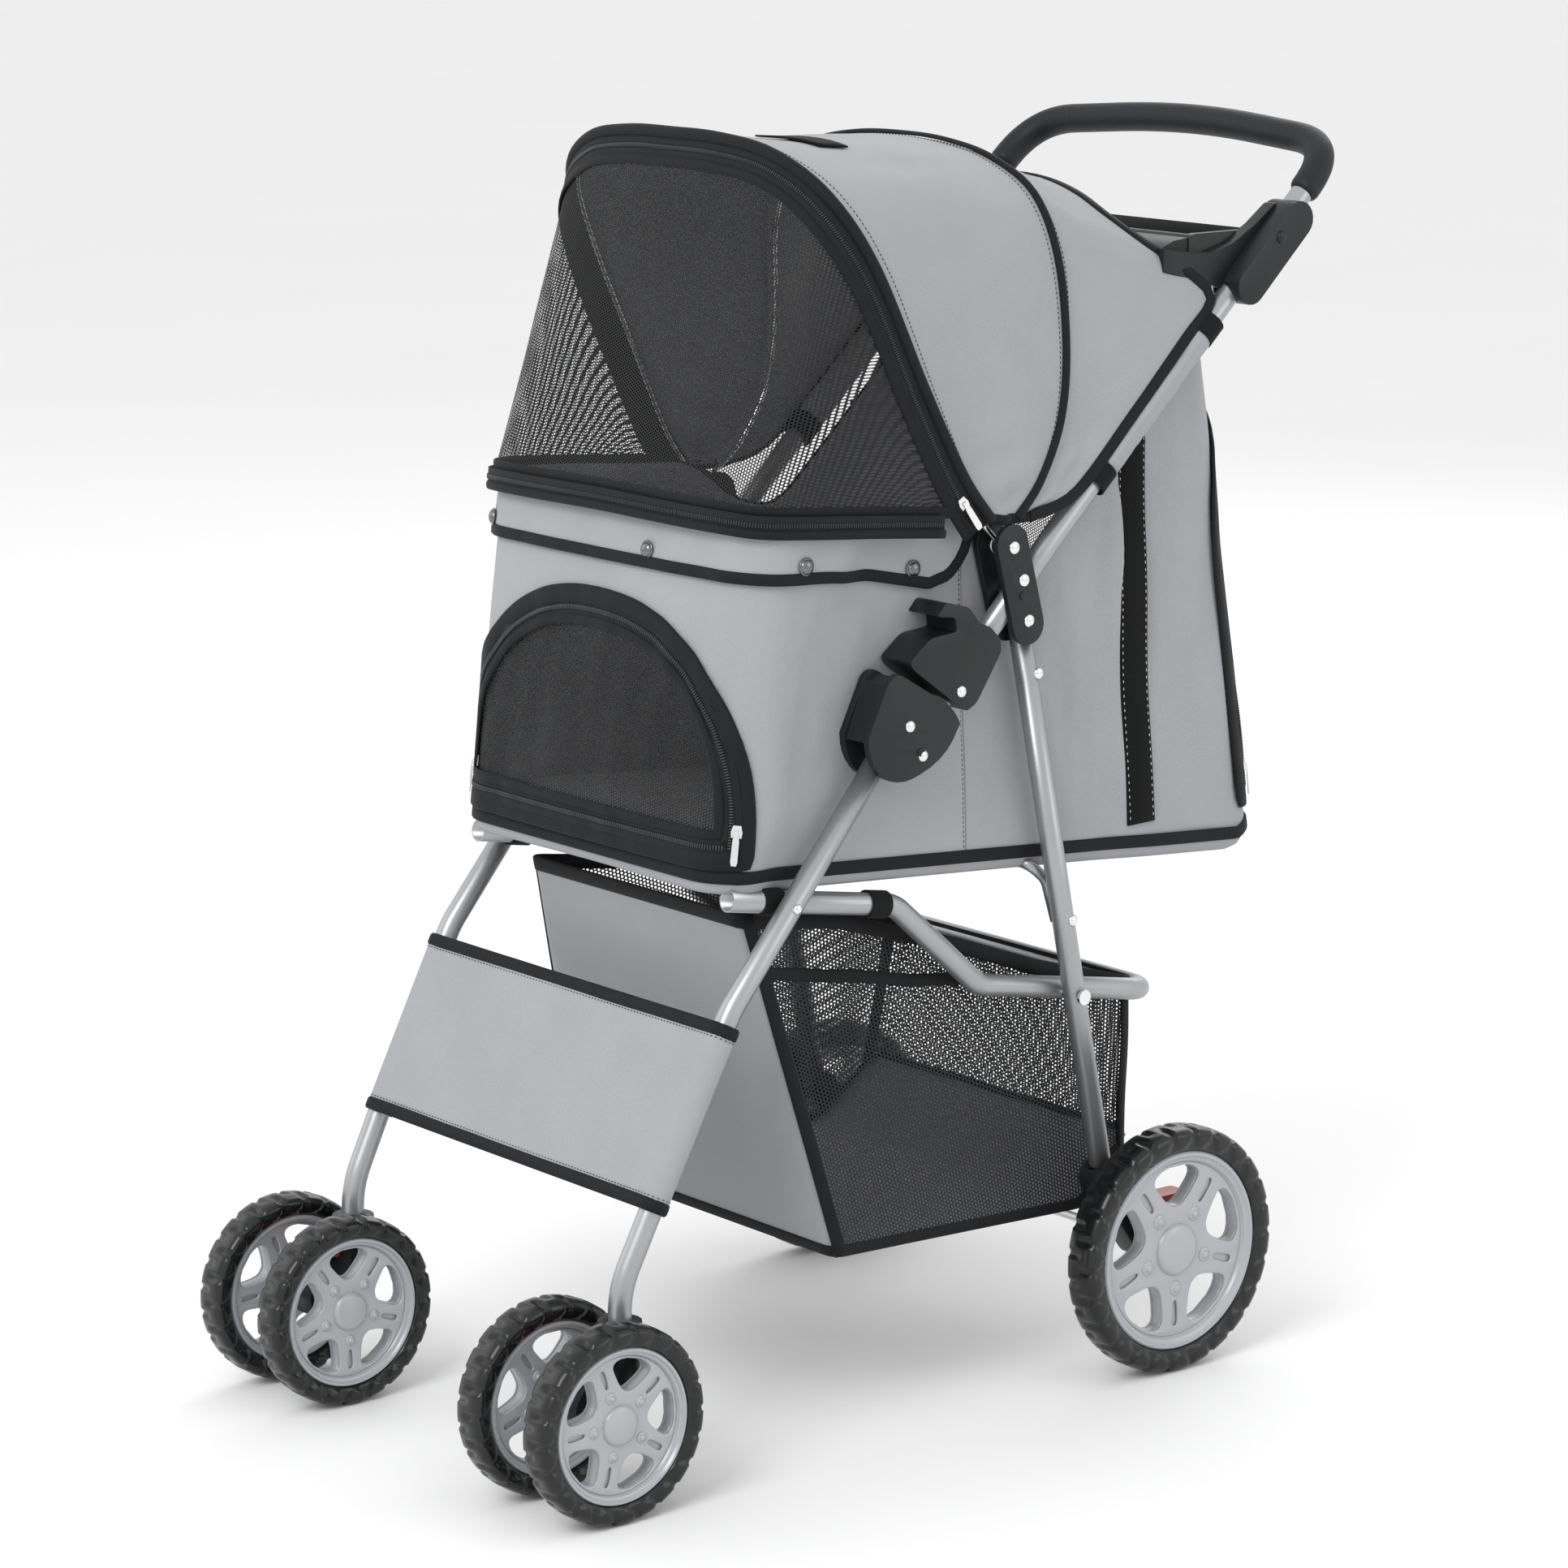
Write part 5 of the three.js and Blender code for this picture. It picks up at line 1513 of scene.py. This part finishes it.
# ---- the foot panel between the front legs ----
def build_foot_panel():
    shin, knee = (-258, 189), (-190, 319)
    along = Vector((0, knee[0] - shin[0], knee[1] - shin[1])).normalized()
    ahead = Vector((0, -along.z, along.y))
    run = math.hypot(knee[0] - shin[0], knee[1] - shin[1])
    rows = []
    for i in range(17):
        up = mix(8, 132, i / 16)
        share = up / run
        x = mix(157.5, 160, share)
        centre = place(0, mix(shin[0], knee[0], share), mix(shin[1], knee[1], share))
        row = []
        for k in range(9):
            turn = math.radians(mix(-110, 90, k / 8))
            row.append(centre + Vector((-(x + 9.6 * math.cos(turn)), 0,
                                        0)) * MM + ahead * 9.6 * math.sin(turn) * MM)
        for k in range(1, 40):
            across = k / 40 * 2 - 1
            slack = 2.4 * (1 - across * across) + 1.2 * noise.noise(Vector((across * 3, up * 0.03, 6)))
            row.append(centre + place(across * x, 0, 0) + ahead * (9.6 - slack) * MM)
        for k in range(9):
            turn = math.radians(mix(90, -110, k / 8))
            row.append(centre + Vector((x + 9.6 * math.cos(turn), 0,
                                        0)) * MM + ahead * 9.6 * math.sin(turn) * MM)
        rows.append(row)
    panel = lattice("foot_panel", rows, MATERIALS["canvas"])
    thicken(panel, 1.1)
    finish_on(panel, "front_frame", "grey_cloth", "footrest_band")
    trims, threads = [], []
    for row in (rows[0], rows[-1]):
        points = resample(row, 130)
        normals = []
        for a, p, b in zip([points[0]] + points[:-1], points, points[1:] + [points[-1]]):
            normals.append((b - a).cross(along).normalized())
        trims.append(sweep("panel_binding", points, tape_section(9, 2.4, -0.8), MATERIALS["binding"],
                           normals))
        inset = along * (5.6 if row is rows[0] else -5.6) * MM
        threads.append(stitching("panel_stitches", [p + inset for p in points], normals,
                                 MATERIALS["dark_thread"], lift=0.8))
    finish_on(joined("foot_panel_binding", trims), "front_frame", "black_binding")
    finish_on(joined("foot_panel_stitching", threads), "front_frame", "black_binding")


build_foot_panel()


# ---- sleeves and straps on the tubes ----
def sleeve(name, start, end, radius, material, body, slot, waves=0.0, count=24):
    path = [start.lerp(end, k / count) for k in range(count + 1)]
    along = (end - start).normalized()
    side = Vector((1, 0, 0))
    up = along.cross(side)
    rings = []
    for layer, order in ((0.0, 1), (-1.3, -1)):
        for k, point in list(enumerate(path))[::order]:
            r = radius + layer + waves * noise.noise(Vector((k * 0.7, 1, radius)))
            rings.append([point + (side * a + up * b) * MM for a, b in circle(r, 24)])
    return finish_on(outward(lattice(name, rings, material, wrap_rows=True, wrap_columns=True)), body, slot)


def rail_spot(side, y):
    return place(RAIL_X * side, y, rail_point(y))


RAIL_STRAPS = {"top": (228, 240), "low": (128, 140)}
for side_name, side in SIDES.items():
    sleeve("rail_sleeve_" + side_name, rail_spot(side, 140), rail_spot(side, 230), 10.6, MATERIALS["canvas"],
           "handle", "grey_cloth", 0.8)
    for label, (low, high) in RAIL_STRAPS.items():
        sleeve("rail_strap_{}_{}".format(label, side_name), rail_spot(side, low), rail_spot(side, high), 11.4,
               MATERIALS["webbing"], "handle", "black_binding")
    for label, y, z in (("rail", -58, 369.1), ("front", -152, 384.7)):
        a, b = place(SEAT_RAIL_X * side, y, z), place(SEAT_RAIL_X * side, y + 17, z - 2.8)
        sleeve("seat_{}_strap_{}".format(label, side_name), a, b, 9.8, MATERIALS["webbing"], "seat",
               "black_binding")


# ---- the cushion ----
def build_cushion():
    """A flat pad blown up a little by a cloth simulation."""
    low, high = (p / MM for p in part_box("cushion"))
    half, front, rear = high.x - 4, low.y + 6, high.y - 6
    thick, slope = 17, -34 / 480
    top = 405 + 26 - 4

    def pad_point(a, b, c):
        y = mix(front, rear, b / 2 + 0.5)
        return place(a * half, y, top + slope * (y + 180) - thick * (0.5 - c / 2))

    rows = []
    for b in spaced(-1, 1, 0.1):
        upper = [pad_point(a, b, 1) for a in spaced(-1, 1, 0.1)]
        rows.append(upper + [pad_point(a, b, -1) for a in spaced(1, -1, 0.1)])
    pad = closed_stack("cushion_pad", rows, MATERIALS["pad"])
    remesh = pad.modifiers.new("even", "REMESH")
    remesh.mode = "VOXEL"
    remesh.voxel_size = 0.006
    settle(pad)
    start = [v.co.copy() for v in pad.data.vertices]
    cloth = pad.modifiers.new("blown", "CLOTH")
    cloth.settings.use_pressure = True
    cloth.settings.uniform_pressure_force = 4
    cloth.settings.effector_weights.gravity = 0
    cloth.point_cache.frame_start, cloth.point_cache.frame_end = 1, 20
    for step in range(1, 21):
        bpy.context.scene.frame_set(step)
    settle(pad)
    bpy.context.scene.frame_set(1)
    for vertex, before in zip(pad.data.vertices, start):
        move = vertex.co - before
        if move.length > 5 * MM:
            vertex.co = before + move.normalized() * 5 * MM
    soft = pad.modifiers.new("soft", "SUBSURF")
    soft.levels = soft.render_levels = 1
    settle(pad)
    pad.data.materials.clear()
    pad.data.materials.append(MATERIALS["pad"])
    pad.data.shade_smooth()
    crumple(pad, "seat", "grey_cloth", "cushion")


build_cushion()


# ---- floor, light and camera ----
def studio():
    floor_size = 60.0
    verts = [(-floor_size, -floor_size, 0), (floor_size, -floor_size, 0), (floor_size, floor_size, 0),
             (-floor_size, floor_size, 0)]
    material, tree, shader = new_material("pale floor", roughness=0.9, specular=0.1)
    coords = put(tree, "ShaderNodeTexCoord").outputs["Object"]
    cloud = put(tree, "ShaderNodeTexNoise", {"Vector": coords, "Scale": 1.5, "Detail": 3.0})
    tree.links.new(two_tone(tree, cloud.outputs["Fac"], (0.83, 0.83, 0.83), (0.86, 0.86, 0.86)),
                   shader.inputs["Base Color"])
    floor = new_piece("floor", verts, [(0, 1, 2, 3)], material)
    world = bpy.data.worlds.new("studio")
    world.use_nodes = True
    world.node_tree.nodes["Background"].inputs["Color"].default_value = (1.0, 1.0, 1.0, 1)
    world.node_tree.nodes["Background"].inputs["Strength"].default_value = 1.0
    bpy.context.scene.world = world
    bpy.context.scene.view_settings.view_transform = "Standard"
    centre = Vector((0, 0, 0.42))
    for name, spot, size, power in (("key", (1.2, -3.2, 3.0), 1.8, 75), ("fill", (-2.8, -2.2, 1.8), 2.5, 16),
                                    ("side", (3.2, 1.8, 1.6), 2.0, 16), ("back", (-1.6, 2.8, 2.6), 2.2, 30)):
        lamp = bpy.data.lights.new(name, "AREA")
        lamp.size = size
        lamp.energy = power
        holder = bpy.data.objects.new(name, lamp)
        holder.location = spot
        holder.rotation_euler = (Vector(spot) - centre).to_track_quat("Z", "Y").to_euler()
        bpy.context.scene.collection.objects.link(holder)
    camera = bpy.data.cameras.new("view")
    camera.lens = 113.6
    camera.sensor_width = 36
    camera.shift_x = 0.0027
    camera.shift_y = 0.0006
    holder = bpy.data.objects.new("view", camera)
    holder.location = (2.6519, -2.1739, 1.1377)
    holder.rotation_euler = Vector((0.7595, -0.6175, 0.2045)).to_track_quat("Z", "Y").to_euler()
    bpy.context.scene.collection.objects.link(holder)
    bpy.context.scene.camera = holder


studio()
